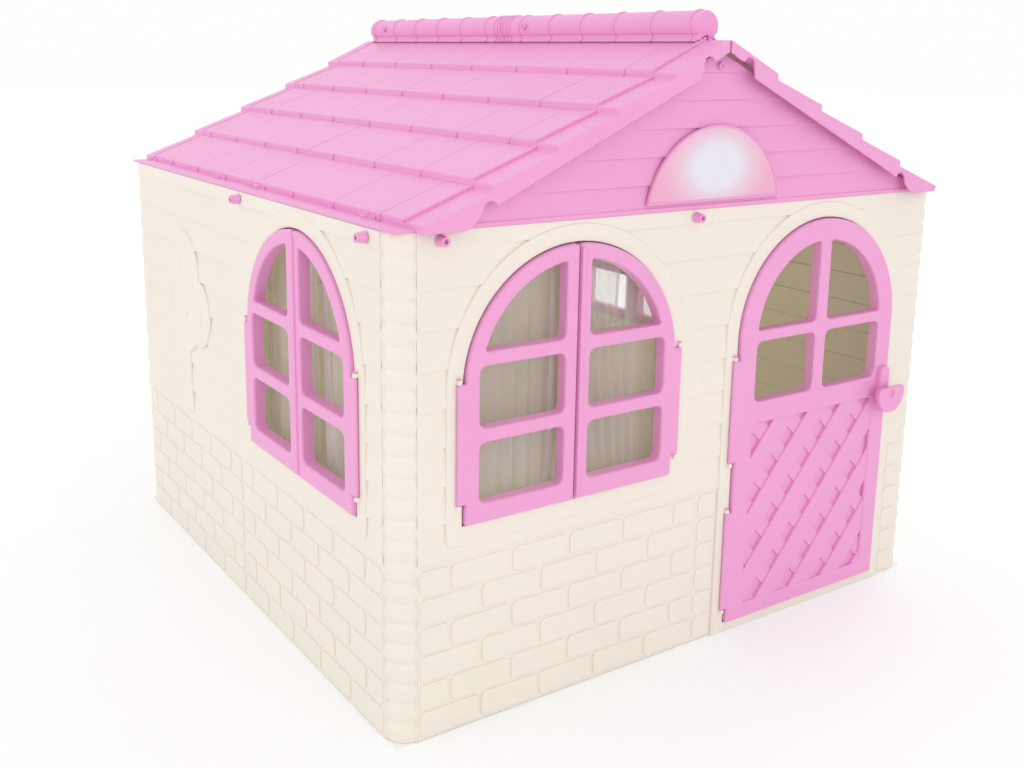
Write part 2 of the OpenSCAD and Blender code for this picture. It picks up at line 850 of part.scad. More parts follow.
// Half-round thumb turn with its axle.
module latch_knob() {
    face = leaf_y0 - boss_out - fit;
    color(pink) {
        through(face - neck_len - turn_t, face - neck_len) translate([latch_x, latch_z]) intersection() {
            circle(knob_r);
            translate([-knob_r, -knob_r]) square([2 * knob_r, knob_r + 14]);
        }
        outwards(latch_x, face, latch_z) cylinder(r = axle_r + 5, h = neck_len + 1);
        outwards(latch_x, catch_y + 6, latch_z) cylinder(r = axle_r, h = catch_y + 6 - face + 1);
    }
}

module latch_catch() {
    color(cream) difference() {
        through(catch_y, catch_y + 6) translate([latch_x, latch_z]) {
            circle(axle_r + 6);
            translate([-9, -55]) square([18, 55]);
        }
        outwards(latch_x, catch_y + 10, latch_z) cylinder(r = axle_r + 0.05, h = 20);
    }
}

module latch_screw() {
    color(pink) translate([latch_x, catch_y + 6, latch_z]) rotate([-90, 0, 0]) difference() {
        cylinder(r = axle_r + 3, h = 3);
        translate([0, 0, 3]) star(axle_r * 0.7, 1.5);
    }
}

// ---- curtains ----

module curtain_rod() {
    color(cream) translate([0, curtain_y, curtain_z]) rotate([0, 90, 0]) {
        cylinder(r = curtain_rod_r, h = 2 * window_r + 72, center = true);
        for (s = [-1, 1]) translate([0, 0, s * (window_r + 38)])
            cylinder(r = curtain_rod_r + 2, h = 5, center = true);
    }
}

// A simple closed solid for each curtain; side is -1 left, 1 right.
module curtain(side) {
    inner = 10;
    outer = window_r + 12;
    top = curtain_z - curtain_rod_r - fit;
    color("#fbf8f2")
        box([side > 0 ? inner : -outer, curtain_y - curtain_d / 2, top - curtain_h],
            [side > 0 ? outer : -inner, curtain_y + curtain_d / 2, top]);
}

// ---- assembly ----

// Moves window coordinates to the middle of a panel: which is -1 left, 1 right.
module at_panel(side, which) {
    on_side(side) translate([which * panel_mid, 0, 0]) children();
}

module at_corner(side) {
    rotate([0, 0, 90 * side]) translate([-half, -half, 0]) children();
}

on_side(0) window_panel(1);  // front_window_panel
on_side(0) door_panel(-1);  // front_door_panel
on_side(3) window_panel(-1);  // left_window_panel
on_side(3) tree_panel(1, false);  // left_tree_panel
on_side(1) window_panel(-1);  // right_window_panel
on_side(1) tree_panel(1, false);  // right_tree_panel
on_side(2) tree_panel(-1, false);  // back_left_panel
on_side(2) tree_panel(1, true);  // back_right_panel
at_corner(0) column();  // column_front_left
at_corner(1) column();  // column_front_right
at_corner(3) column();  // column_back_left
at_corner(2) column();  // column_back_right
on_side(0) joint_channel();  // front_joint_channel
on_side(3) joint_channel();  // left_joint_channel
on_side(1) joint_channel();  // right_joint_channel
on_side(2) joint_channel();  // back_joint_channel
on_side(0) gable(true);  // gable_front
on_side(2) gable(false);  // gable_back
badge_plaque();
roof_quarter(false, true, front_screw_y, front_bosses);  // roof_left_front
mirror([0, 1, 0]) roof_quarter(true, false, -back_screw_y, back_bosses);  // roof_left_back
mirror([1, 0, 0]) roof_quarter(false, false, front_screw_y, front_bosses);  // roof_right_front
rotate([0, 0, 180]) roof_quarter(true, true, -back_screw_y, back_bosses);  // roof_right_back
ridge_cap(front_screw_y);  // ridge_cap_front
mirror([0, 1, 0]) ridge_cap(-back_screw_y);  // ridge_cap_back
ridge_screws();
ridge_nuts();
apex_brackets();
apex_screws();
wall_bolts(0);  // front_wall_bolts
wall_bolts(3);  // left_wall_bolts
wall_bolts(1);  // right_wall_bolts
wall_bolts(2);  // back_wall_bolts
wall_bolt_nuts();
at_panel(0, -1) shutter(-1);  // front_shutter_left
at_panel(0, -1) shutter(1);  // front_shutter_right
at_panel(3, 1) shutter(-1);  // left_shutter_back
at_panel(3, 1) shutter(1);  // left_shutter_front
at_panel(1, 1) shutter(-1);  // right_shutter_front
at_panel(1, 1) shutter(1);  // right_shutter_back
at_panel(0, -1) window_rods();  // front_hinge_rods
at_panel(3, 1) window_rods();  // left_hinge_rods
at_panel(1, 1) window_rods();  // right_hinge_rods
at_panel(0, 1) color(pink) for (z = door_strips) hinge_rod(-door_hinge_x, z);  // door_hinge_rods
at_panel(0, 1) door_leaf();
at_panel(0, 1) latch_knob();
at_panel(0, 1) latch_catch();
at_panel(0, 1) latch_screw();
at_panel(0, -1) curtain_rod();  // front_curtain_rod
at_panel(3, 1) curtain_rod();  // left_curtain_rod
at_panel(1, 1) curtain_rod();  // right_curtain_rod
at_panel(0, -1) curtain(-1);  // front_curtain_left
at_panel(0, -1) curtain(1);  // front_curtain_right
at_panel(3, 1) curtain(-1);  // left_curtain_back
at_panel(3, 1) curtain(1);  // left_curtain_front
at_panel(1, 1) curtain(-1);  // right_curtain_front
at_panel(1, 1) curtain(1);  // right_curtain_back
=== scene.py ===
# Children's plastic playhouse: moulded walls with siding and brick relief,
# ribbed columns, tiled roof, arched shutters, a half-glazed door and curtains.
# Lengths are in metres. The front faces -Y and the origin is on the floor.

import json
import math
import random
from functools import cached_property

import bmesh
import bpy
from bpy.props import FloatProperty, FloatVectorProperty, IntProperty, PointerProperty
from bpy.types import Operator, Panel, PropertyGroup
from mathutils import Matrix, Vector


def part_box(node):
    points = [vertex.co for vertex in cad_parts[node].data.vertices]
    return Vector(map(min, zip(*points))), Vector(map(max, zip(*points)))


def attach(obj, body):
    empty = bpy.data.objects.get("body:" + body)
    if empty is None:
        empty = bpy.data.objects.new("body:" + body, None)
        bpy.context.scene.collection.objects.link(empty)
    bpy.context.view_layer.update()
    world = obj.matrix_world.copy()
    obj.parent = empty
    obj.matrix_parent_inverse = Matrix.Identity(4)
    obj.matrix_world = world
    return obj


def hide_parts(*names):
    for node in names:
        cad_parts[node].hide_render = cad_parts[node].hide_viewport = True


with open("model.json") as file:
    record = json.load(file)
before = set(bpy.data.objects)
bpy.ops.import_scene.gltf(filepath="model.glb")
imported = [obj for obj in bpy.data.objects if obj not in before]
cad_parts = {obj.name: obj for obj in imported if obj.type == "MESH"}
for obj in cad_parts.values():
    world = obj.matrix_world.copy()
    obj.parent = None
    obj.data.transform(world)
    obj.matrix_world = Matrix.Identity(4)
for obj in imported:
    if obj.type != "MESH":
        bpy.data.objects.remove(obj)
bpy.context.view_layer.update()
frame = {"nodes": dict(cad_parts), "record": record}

bl_info = {
    "name": "Plastic playhouse",
    "version": (1, 0, 0),
    "blender": (4, 5, 0),
    "location": "3D View > Sidebar > Playhouse",
    "description": "Moulded relief, round edges, curtains and finishes for a children's playhouse",
    "category": "Object",
}

# ---- sizes read from the frame ----

HOUSE = "house"
COLUMN_LOW, COLUMN_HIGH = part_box("column_front_left")
HALF = -COLUMN_LOW.x                            # from the middle to the walls' outer plane
WALL_H = COLUMN_HIGH.z
COLUMN_R = COLUMN_HIGH.x - COLUMN_LOW.x
PANEL_MID = (HALF - COLUMN_R) / 2               # from the seam to the middle of a panel
WINDOW_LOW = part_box("front_shutter_left")[0].z
WINDOW_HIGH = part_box("front_shutter_left")[1].z
DOOR_LOW, DOOR_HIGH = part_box("door_leaf")[0].z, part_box("door_leaf")[1].z
ROOF_END = -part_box("roof_left_front")[0].y
SKIN = 0.004                                    # moulded sheet
FIT = 0.0003                                    # play between two pieces
FACE = 0.014                                    # front of a leaf before the wall's plane
BACK = -0.010                                   # its back, behind that plane
LEDGE = 0.0106                                  # ledge behind a leaf
TURNED = 0.008                                  # front of a leaf's edges that are turned back
TAB = SKIN + FIT                                # tab behind the wall's sheet
SEAM = 0.00025                                  # half the gap between two halves of the roof
RIDGE_GAP = 0.002                               # from the ridge to the top of a slope
SHEET = 0.006                                   # sheet of the roof, upright
STEP_BACK = 0.004                               # how far a course's underside lies up the slope
STRIP_H = 0.202                                 # length of a hinge strip
EYE_H = 0.0075                                  # height of a hinge eye
EYE_STEP = 0.21                                 # from one eye of a strip to the next
FLOOR_FADE = 4.0                                # from the middle to where the floor is white
BRICK_FOOT = 0.006                              # plain strip below the bricks
WINDOWS = (                                     # wall, side, half of the wall, left and right ends
    ("front", 0, -1, "left", "right"), ("left", 3, 1, "back", "front"), ("right", 1, 1, "front", "back"),
)
HERE = Matrix.Identity(4)
UP = Matrix.Rotation(math.radians(90), 4, "X")  # a drawing (across, up) stands on the floor
ALONG = Matrix(((0, 0, 1, 0), (1, 0, 0, 0), (0, 1, 0, 0), (0, 0, 0, 1)))


def on_side(side, across=0.0):
    """Wall coordinates of a side: 0 front, 1 right, 2 back, 3 left."""
    turn = Matrix.Rotation(math.radians(90 * side), 4, "Z")
    return turn @ Matrix.Translation((across, -HALF, 0))


# ---- properties ----


def length(name, value, about):
    return FloatProperty(
        name=name, description=about, default=value, min=0.0, unit="LENGTH", precision=4
    )


def tint(name, value, about):
    return FloatVectorProperty(
        name=name, description=about, default=value, min=0.0, max=1.0, size=3, subtype="COLOR"
    )


class PlayhouseWalls(PropertyGroup):
    board: length("Board", 0.0642, "Height of one siding board")
    top_board: length("Top board", 0.026, "Height of the board at the top of the wall")
    step: length("Board step", 0.004, "How far a board's lower edge stands out")
    brick: length("Brick course", 0.05, "Height of a brick course, joint included")
    rows: IntProperty(name="Courses", description="Number of brick courses", default=6, min=1)
    joint: length("Joint", 0.005, "Width of the joint between bricks")
    proud: length("Brick relief", 0.003, "How far a brick stands out")
    trim: length("Trim", 0.032, "Width of the band around an opening")
    trim_proud: length("Trim relief", 0.006, "How far the band stands out")
    rings: IntProperty(name="Rings", description="Rings up a corner column", default=24, min=4)


class PlayhouseLeaves(PropertyGroup):
    window_r: length("Window arch", 0.22, "Radius of the arch of a pair of shutters")
    door_r: length("Door arch", 0.218, "Radius of the arch of the door")
    gap: length("Meeting gap", 0.003, "Gap between two closed shutters")
    stile: length("Stile", 0.026, "Width of a shutter's outer stile")
    bar: length("Bar", 0.024, "Width of a shutter's meeting stile and cross bars")
    rail: length("Rail", 0.033, "Width of a shutter's bottom rail")
    pane: length("Opening", 0.103, "Height of a shutter's lower openings")
    door_stile: length("Door stile", 0.042, "Width of the door's stiles")
    door_bar: length("Door bar", 0.03, "Width of the bar between the door's openings")
    door_cross: length("Door cross bar", 0.022, "Width of the door's cross bar")
    door_pane: length("Door opening", 0.469, "Height of the bottom of the door's openings")
    lattice_low: length("Lattice bottom", 0.053, "Height of the bottom of the lattice")
    lattice_high: length("Lattice top", 0.425, "Height of the top of the lattice")
    band: length("Lattice band", 0.046, "Width of a lattice band")
    band_pitch: length("Band pitch", 0.0745, "Distance between two bands")
    lean: FloatProperty(name="Lean", description="Degrees that the bands lean", default=50)
    slat: length("Slat", 0.033, "Width of a slat behind the bands")
    slat_pitch: length("Slat pitch", 0.065, "Distance between two slats")


class PlayhouseRoof(PropertyGroup):
    rise: length("Rise", 0.281, "From the eave's edge to the ridge")
    eave: length("Eave", 0.016, "Height of the eave's edge above the wall")
    inset: length("Eave inset", 0.038, "How far the eave's edge lies inside the wall's face")
    courses: IntProperty(name="Courses", description="Tile courses on a slope", default=5, min=2)
    step: length("Tile step", 0.011, "Height of the step at each course")
    border: length("Border", 0.06, "Width of the lowered border at a gable")
    border_drop: length("Border drop", 0.004, "How far the border lies below the tiles")
    tile: length("Tile", 0.168, "Width of a tile")
    fascia: length("Fascia", 0.04, "Drop of the fascia below the roof's line")
    cap_r: length("Cap radius", 0.028, "Radius of the round top of the ridge cap")
    cap_lift: length("Cap lift", 0.02, "Height of the cap's centre above the ridge")
    ring: length("Cap ring", 0.105, "Distance between two rings of the ridge cap")
    board: length("Gable board", 0.0475, "Height of one board of a gable")


class PlayhouseCurtains(PropertyGroup):
    fullness: FloatProperty(
        name="Fullness", description="Width of the cloth over its hung width", default=1.15, min=1.05
    )
    folds: IntProperty(name="Folds", description="Folds across one curtain", default=6, min=2)
    hem: length("Hem", 0.012, "Width of the hem")


class PlayhouseFinish(PropertyGroup):
    cream: tint("Cream", (0.885, 0.821, 0.735), "Walls and columns")
    pink: tint("Pink", (0.865, 0.372, 0.672), "Roof, gables, shutters and door")
    cloth: tint("Cloth", (0.93, 0.92, 0.88), "Curtains")
    plaque: tint("Plaque", (0.80, 0.78, 0.86), "Middle of the plaque")
    rim: tint("Plaque rim", (0.86, 0.42, 0.60), "Edge of the plaque")
    gloss: FloatProperty(name="Roughness", description="Roughness of the plastic", default=0.36)


class PlayhouseStage(PropertyGroup):
    eye: FloatVectorProperty(
        name="Eye", description="Place of the camera", default=(-1.4371, -2.1117, 1.1120),
        size=3, subtype="TRANSLATION",
    )
    heading: FloatProperty(name="Heading", description="Degrees from +Y", default=34.48)
    tilt: FloatProperty(name="Tilt", description="Degrees above level", default=-12.17)
    roll: FloatProperty(name="Roll", description="Degrees about the view", default=0.88)
    lens: FloatProperty(name="Lens", description="Focal length in millimetres", default=39.95)
    shift: FloatProperty(name="Shift", description="Upward shift of the frame", default=-0.082)


def settings(name):
    return getattr(bpy.context.scene, "playhouse_" + name)


# ---- outlines ----


def arc(x, y, radius, start, end, steps):
    """Points along an arc, between two angles in degrees."""
    turns = [math.radians(start + (end - start) * k / steps) for k in range(steps + 1)]
    return [(x + radius * math.cos(a), y + radius * math.sin(a)) for a in turns]


def rounded(corners, radius, steps=4):
    """A closed loop through corners, each rounded by a short curve."""
    loop = []
    count = len(corners)
    for k in range(count):
        before, corner, after = (Vector(corners[(k + i) % count]) for i in (-1, 0, 1))
        cut = min(radius, (before - corner).length * 0.45, (after - corner).length * 0.45)
        start = corner + (before - corner).normalized() * cut
        end = corner + (after - corner).normalized() * cut
        for i in range(steps + 1):
            t = i / steps
            point = start * (1 - t) ** 2 + corner * 2 * t * (1 - t) + end * t * t
            loop.append(tuple(point))
    return loop


def rectangle(x0, y0, x1, y1, radius=0.0):
    corners = [(x0, y0), (x1, y0), (x1, y1), (x0, y1)]
    return rounded(corners, radius) if radius else corners


def arch(radius, low, spring, corner=0.0):
    """An arched opening, from low up to a half circle whose centre is at spring."""
    foot = [(-radius, low), (radius, low)]
    if corner:
        left = arc(-radius + corner, low + corner, corner, 180, 270, 6)
        right = arc(radius - corner, low + corner, corner, 270, 360, 6)
        foot = left + right
    return foot + arc(0, spring, radius, 0, 180, 56)


def half_arch(side, inner, outer, low, spring, corner):
    """Half of an arch between x = inner and the radius outer; side is -1 or 1."""
    lean = math.degrees(math.acos(inner / outer))
    loop = rounded([(inner, spring), (inner, low), (outer, low), (outer, spring)], corner)
    # keep the two bottom corners, and let the arc make the top
    loop = [p for p in loop if p[1] < spring - 0.01]
    loop = loop + arc(0, spring, outer, 0, lean - 2, 28)
    tip = (inner, spring + outer * math.sin(math.radians(lean)) - corner * 0.8)
    loop.append(tip)
    return [(side * x, y) for x, y in loop]


# ---- solids ----


def meshed(name, bm):
    """Turns a bmesh into a mesh and frees it."""
    mesh = bpy.data.meshes.new(name)
    bm.to_mesh(mesh)
    bm.free()
    return mesh


def placed(name, data):
    """A new object in the scene that holds the data."""
    thing = bpy.data.objects.new(name, data)
    bpy.context.scene.collection.objects.link(thing)
    return thing


def softened(bm, edges, offset, segments):
    """Rounds some edges of a bmesh."""
    bmesh.ops.bevel(
        bm, geom=edges, offset=offset, offset_type="OFFSET", segments=segments, profile=0.5,
        affect="EDGES", material=-1,
    )


def plate(bm, loops, low, high, edge, place, steps=3):
    """Adds a plate with round edges, drawn by closed loops, from low to high outwards."""
    curve = bpy.data.curves.new("outline", "CURVE")
    curve.dimensions = "2D"
    curve.fill_mode = "BOTH"
    curve.extrude = (high - low) / 2 - edge
    curve.bevel_depth = edge
    curve.bevel_resolution = steps - 1
    curve.offset = -edge
    for loop in loops:
        spline = curve.splines.new("POLY")
        spline.points.add(len(loop) - 1)
        for point, (x, y) in zip(spline.points, loop):
            point.co = (x, y, 0, 1)
        spline.use_cyclic_u = True
    holder = bpy.data.objects.new("outline", curve)
    mesh = bpy.data.meshes.new_from_object(holder)
    mesh.transform(place @ Matrix.Translation((0, 0, (low + high) / 2)))
    bm.from_mesh(mesh)
    bpy.data.objects.remove(holder)
    bpy.data.curves.remove(curve)
    bpy.data.meshes.remove(mesh)


def block(bm, start, end, place=HERE, edge=0.0006):
    """Adds a box with small round edges between two corners."""
    low, high = (Vector([pick(pair) for pair in zip(start, end)]) for pick in (min, max))
    verts = bmesh.ops.create_cube(bm, size=1)["verts"]
    bmesh.ops.scale(bm, verts=verts, vec=high - low)
    bmesh.ops.translate(bm, verts=verts, vec=(low + high) / 2)
    bmesh.ops.transform(bm, matrix=place, verts=verts)
    edges = list(dict.fromkeys(e for v in verts for e in v.link_edges))
    softened(bm, edges, edge, 2)


def rod(bm, start, end, radius, edge=0.0005, sides=32):
    """Adds a round bar with small round ends."""
    start, end = Vector(start), Vector(end)
    axis = end - start
    place = Matrix.Translation((start + end) / 2) @ axis.to_track_quat("Z", "Y").to_matrix().to_4x4()
    made = bmesh.ops.create_cone(
        bm, cap_ends=True, segments=sides, radius1=radius, radius2=radius, depth=axis.length,
        matrix=place,
    )["verts"]
    rims = [
        e for e in dict.fromkeys(e for v in made for e in v.link_edges)
        if any(len(f.verts) > 4 for f in e.link_faces)
    ]
    softened(bm, rims, edge, 3)


def sliced(bm, point, outward):
    """Cuts a closed bmesh by a plane, drops what lies outwards and closes the cut."""
    everything = bm.verts[:] + bm.edges[:] + bm.faces[:]
    cut = bmesh.ops.bisect_plane(
        bm, geom=everything, dist=1e-6, plane_co=point, plane_no=outward, clear_outer=True
    )["geom_cut"]
    rim = [e for e in cut if isinstance(e, bmesh.types.BMEdge)]
    bmesh.ops.holes_fill(bm, edges=rim)


def carved(bm, cutter):
    """A new bmesh: bm with cutter taken out of it. Both are closed."""
    made = []
    for source in (bm, cutter):
        bmesh.ops.remove_doubles(source, verts=source.verts, dist=1e-6)
        bmesh.ops.recalc_face_normals(source, faces=source.faces)
        made.append(placed("carving", meshed("carving", source)))
    cut = made[0].modifiers.new("cut", "BOOLEAN")
    cut.object = made[1]
    cut.operation = "DIFFERENCE"
    cut.solver = "EXACT"
    result = bmesh.new()
    result.from_object(made[0], bpy.context.evaluated_depsgraph_get())
    for thing in made:
        mesh = thing.data
        bpy.data.objects.remove(thing)
        bpy.data.meshes.remove(mesh)
    return result


def piece(name, bm, body, slot, nodes=(), angle=32):
    """Finishes a bmesh as a piece that rides on a body and stands for CAD nodes."""
    bmesh.ops.remove_doubles(bm, verts=bm.verts, dist=1e-6)
    bmesh.ops.dissolve_degenerate(bm, dist=1e-7, edges=bm.edges)
    bmesh.ops.recalc_face_normals(bm, faces=bm.faces)
    mesh = meshed(name, bm)
    mesh.polygons.foreach_set("use_smooth", [True] * len(mesh.polygons))
    mesh.set_sharp_from_angle(angle=math.radians(angle))
    mesh.materials.append(material(slot))
    thing = placed(name, mesh)
    weighted = thing.modifiers.new("even_shading", "WEIGHTED_NORMAL")
    weighted.keep_sharp = True
    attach(thing, body)
    if nodes:
        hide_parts(*nodes)


# ---- finishes ----


class Nodes:
    """A short way to add nodes to a material or a world and link them."""

    def __init__(self, holder, shader="Principled BSDF"):
        holder.use_nodes = True
        self.holder = holder
        self.tree = holder.node_tree
        self.shader = self.tree.nodes[shader]

    @cached_property
    def coordinates(self):
        return self.add("TexCoord").outputs["Object"]

    def add(self, kind, **values):
        node = self.tree.nodes.new("ShaderNode" + kind)
        for key, value in values.items():
            if key in node.inputs:
                node.inputs[key].default_value = value
            else:
                setattr(node, key, value)
        return node

    def fill(self, socket, value):
        """Links a socket to the one given, or sets its value."""
        if isinstance(value, bpy.types.NodeSocket):
            self.tree.links.new(value, socket)
        else:
            socket.default_value = value

    def shade(self, values):
        for name, value in values.items():
            self.fill(self.shader.inputs[name], value)

    def noise(self, scale, detail):
        node = self.add("TexNoise", Scale=scale, Detail=detail)
        self.fill(node.inputs["Vector"], self.coordinates)
        return node.outputs["Fac"]

    def gradient(self, kind, location, scale):
        """A gradient in the object's own coordinates, moved and scaled."""
        place = self.add("Mapping", Location=location, Scale=scale)
        self.fill(place.inputs["Vector"], self.coordinates)
        node = self.add("TexGradient", gradient_type=kind)
        self.fill(node.inputs["Vector"], place.outputs["Vector"])
        return node.outputs["Fac"]

    def calculated(self, operation, first, second):
        node = self.add("Math", operation=operation)
        self.fill(node.inputs[0], first)
        self.fill(node.inputs[1], second)
        return node.outputs[0]

    def mapped(self, source, low, high):
        node = self.add("MapRange")
        node.inputs["To Min"].default_value = low
        node.inputs["To Max"].default_value = high
        self.fill(node.inputs["Value"], source)
        return node.outputs["Result"]

    def blended(self, factor, first, second):
        node = self.add("Mix", data_type="RGBA")
        self.fill(node.inputs["Factor"], factor)
        node.inputs[6].default_value = (*first, 1)
        node.inputs[7].default_value = (*second, 1)
        return node.outputs[2]

    def bumped(self, layers):
        """Chains bump nodes for (height, distance, strength) layers."""
        normal = None
        for height, distance, strength in layers:
            bump = self.add("Bump", Distance=distance, Strength=strength)
            self.fill(bump.inputs["Height"], height)
            if normal:
                self.fill(bump.inputs["Normal"], normal)
            normal = bump.outputs["Normal"]
        self.shade({"Normal": normal})


def shaded(colour, factor):
    return tuple(min(1.0, c * factor) for c in colour)


def moulded_plastic(name, colour, roughness):
    """Moulded sheet: slight clouds in the colour, satin grain and soft waves."""
    nodes = Nodes(bpy.data.materials.new(name))
    nodes.shade({
        "Base Color": nodes.blended(nodes.noise(3.2, 3.0), shaded(colour, 0.965), shaded(colour, 1.035)),
        "Roughness": nodes.mapped(nodes.noise(26.0, 4.0), roughness - 0.05, roughness + 0.07),
        "Specular IOR Level": 0.42,
    })
    waves, grain = nodes.noise(7.0, 1.0), nodes.noise(1400.0, 2.0)
    nodes.bumped([(waves, 0.004, 0.16), (grain, 0.0002, 0.10)])
    return nodes.holder


def plaque_finish(name, middle, rim):
    """The plaque's finish: pale in the middle and pink at its edge."""
    nodes = Nodes(bpy.data.materials.new(name))
    low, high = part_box("badge_plaque")
    across, up = 0.155, 0.105
    middle_z = low.z + 0.45 * (high.z - low.z)
    glow = nodes.gradient("QUADRATIC_SPHERE", (0, 0, -middle_z / up), (1 / across, 0, 1 / up))
    spread = nodes.add("ValToRGB")
    spread.color_ramp.elements[0].color = (*rim, 1)
    spread.color_ramp.elements[1].color = (*middle, 1)
    spread.color_ramp.elements[1].position = 0.42
    nodes.fill(spread.inputs["Fac"], glow)
    nodes.shade({"Base Color": spread.outputs["Color"], "Roughness": 0.28})
    nodes.bumped([(nodes.noise(900.0, 2.0), 0.0002, 0.06)])
    return nodes.holder


def curtain_cloth(name, colour):
    """Thin woven cloth: crossing threads along the piece's own UV map."""
    nodes = Nodes(bpy.data.materials.new(name))
    uv = nodes.add("UVMap", uv_map="cloth").outputs["UV"]
    threads = []
    for direction in ("X", "Y"):
        wave = nodes.add("TexWave", Scale=420.0, Distortion=0.6, bands_direction=direction)
        nodes.fill(wave.inputs["Vector"], uv)
        threads.append(wave.outputs["Fac"])
    weave = nodes.calculated("MULTIPLY", *threads)
    # the hem is folded over, so less shows through it
    hem = nodes.add("Attribute", attribute_name="hem").outputs["Fac"]
    nodes.shade({
        "Base Color": nodes.blended(weave, shaded(colour, 0.94), shaded(colour, 1.04)),
        "Roughness": 0.85,
        "Sheen Weight": 0.3,
        "Subsurface Weight": 0.35,
        "Subsurface Radius": (0.01, 0.01, 0.01),
        "Alpha": nodes.mapped(hem, 0.34, 0.72),
    })
    nodes.bumped([(weave, 0.0003, 0.35)])
    return nodes.holder


def material(slot):
    """The finish of a material slot, made once."""
    name = slot + "_finish"
    if name in bpy.data.materials:
        return bpy.data.materials[name]
    finish = settings("finish")
    if slot == "badge_plastic":
        return plaque_finish(name, tuple(finish.plaque), tuple(finish.rim))
    if slot == "curtain_fabric":
        return curtain_cloth(name, tuple(finish.cloth))
    colour = finish.cream if slot.startswith("cream") else finish.pink
    return moulded_plastic(name, tuple(colour), finish.gloss)


# ---- walls ----


def board_loop(low, high, top, pitch, step):
    """Cross-section (inwards, up) of a sheet of overlapping boards."""
    count = int((top - low - 0.001) // pitch)
    tops = [top - (count - k) * pitch for k in range(count + 1)]
    outer = [(-step * (tops[0] - low) / pitch, low)]
    for z in tops:
        outer += [(0.0, z), (-step, z)]
    outer.append((-step + step * (high - top) / pitch, high))
    inner = [(x + SKIN, min(z + SKIN, high)) for x, z in reversed(outer[1:])]
    return outer + inner + [(outer[0][0] + SKIN, low)]


def brick_loops(walls, x0, x1, mirror):
    """Bricks between x0 and x1; the bottom row starts whole at the column's side."""
    long = 2 * PANEL_MID / 5
    margin, shortest, corner = 0.004, 0.02, 0.011
    loops = []
    for row in range(walls.rows):
        z = BRICK_FOOT + row * walls.brick
        shift = (row % 2) * long / 2
        for k in range(-1, 6):
            a = mirror * (-PANEL_MID + shift + k * long + walls.joint / 2)
            b = mirror * (-PANEL_MID + shift + (k + 1) * long - walls.joint / 2)
            a, b = min(a, b), max(a, b)
            a, b = max(a, x0 + margin), min(b, x1 - margin)
            if b - a > shortest:
                loops.append(rectangle(a, z, b, z + walls.brick - walls.joint, corner))
    return loops


def opening(bm, place, radius, low, spring, foot, to_floor):
    """Trim band, reveal and ledge around an arched opening."""
    walls = settings("walls")
    play, ledge, ledge_t = 0.002, 0.008, 0.003
    corner = 0.0 if to_floor else 0.014

    def around(gap):
        return arch(radius + gap, low - gap, spring)

    band = [arch(radius + walls.trim, foot, spring, corner), around(play)]
    reveal = [around(play + SKIN), around(play)]
    plate(bm, band, -0.003, walls.trim_proud, 0.0024, place @ UP)
    plate(bm, reveal, -LEDGE - ledge_t, 0.002, 0.0004, place @ UP, 1)
    plate(bm, [around(play + 0.001), around(-ledge)], -LEDGE - ledge_t, -LEDGE, 0.0005, place @ UP, 1)


def panel(name, side, which, kind):
    """One wall panel; which is -1 for the left half of its wall and 1 for the right."""
    walls, leaves = settings("walls"), settings("leaves")
    place = on_side(side, which * PANEL_MID)
    seam = -which
    brick_top = walls.brick * walls.rows + BRICK_FOOT
    bm = bmesh.new()
    boards = board_loop(brick_top, WALL_H, WALL_H - walls.top_board, walls.board, walls.step)
    sheet = [(0, 0)] + boards[:-1] + [(SKIN, brick_top), (SKIN, 0)]
    plate(bm, [rounded(sheet, 0.0012, 2)], -PANEL_MID, PANEL_MID, 0.0004, place @ ALONG, 1)
    openings = {
        "window": (leaves.window_r, WINDOW_LOW, WINDOW_LOW - walls.trim - 0.004),
        "door": (leaves.door_r, DOOR_LOW, 0.0005),
    }
    sides = [(-PANEL_MID, PANEL_MID)]
    if kind in openings:
        radius, low, foot = openings[kind]
        spring = WINDOW_HIGH - radius
        cutter = bmesh.new()
        plate(cutter, [arch(radius + 0.006, low - 0.006, spring)], -0.02, 0.02, 0.0, place @ UP, 1)
        bm = carved(bm, cutter)
        opening(bm, place, radius, low, spring, foot, kind == "door")
    if kind == "door":
        edge = leaves.door_r + walls.trim
        sides = [(-PANEL_MID, -edge), (edge, PANEL_MID)]
    bricks = [loop for a, b in sides for loop in brick_loops(walls, a, b, seam)]
    plate(bm, bricks, -0.002, walls.proud, 0.0024, place @ UP)
    if kind == "window":
        hooks(bm, place, leaves.window_r + 0.024)
        eyes(bm, place, leaves.window_r + 0.012, (-1, 1), [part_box("front_hinge_rods")[0].z])
    if kind == "door":
        low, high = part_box("door_hinge_rods")
        eyes(bm, place, leaves.door_r + 0.012, (-1,), [low.z, high.z - EYE_STEP - 0.01])
    if kind == "tree":
        tree(bm, place, brick_top)
    # returns at the seam and at the column, and the tongue in the column
    x = seam * PANEL_MID
    block(bm, (x, 0.001, 0), (x - seam * SKIN, 0.022, WALL_H - 0.032), place)
    block(bm, (-x, 0.001, 0), (seam * SKIN - x, 0.014, WALL_H), place)
    block(bm, (-x, 0.010, 0), (-x - seam * 0.012, 0.014, WALL_H - 0.006), place)
    piece(name + "_moulded", bm, HOUSE, "cream_walls", [name])


def eyes(bm, place, across, sides, lows):
    """Small eyes that hold the hinge rods, above and below each strip."""
    half_w = 0.0038
    for side in sides:
        for low in lows:
            for z in (low, low + EYE_STEP):
                x = side * across
                start, end = (x - half_w, 0.0002 - FACE, z), (x + half_w, -0.005, z + EYE_H)
                block(bm, start, end, place, 0.0012)


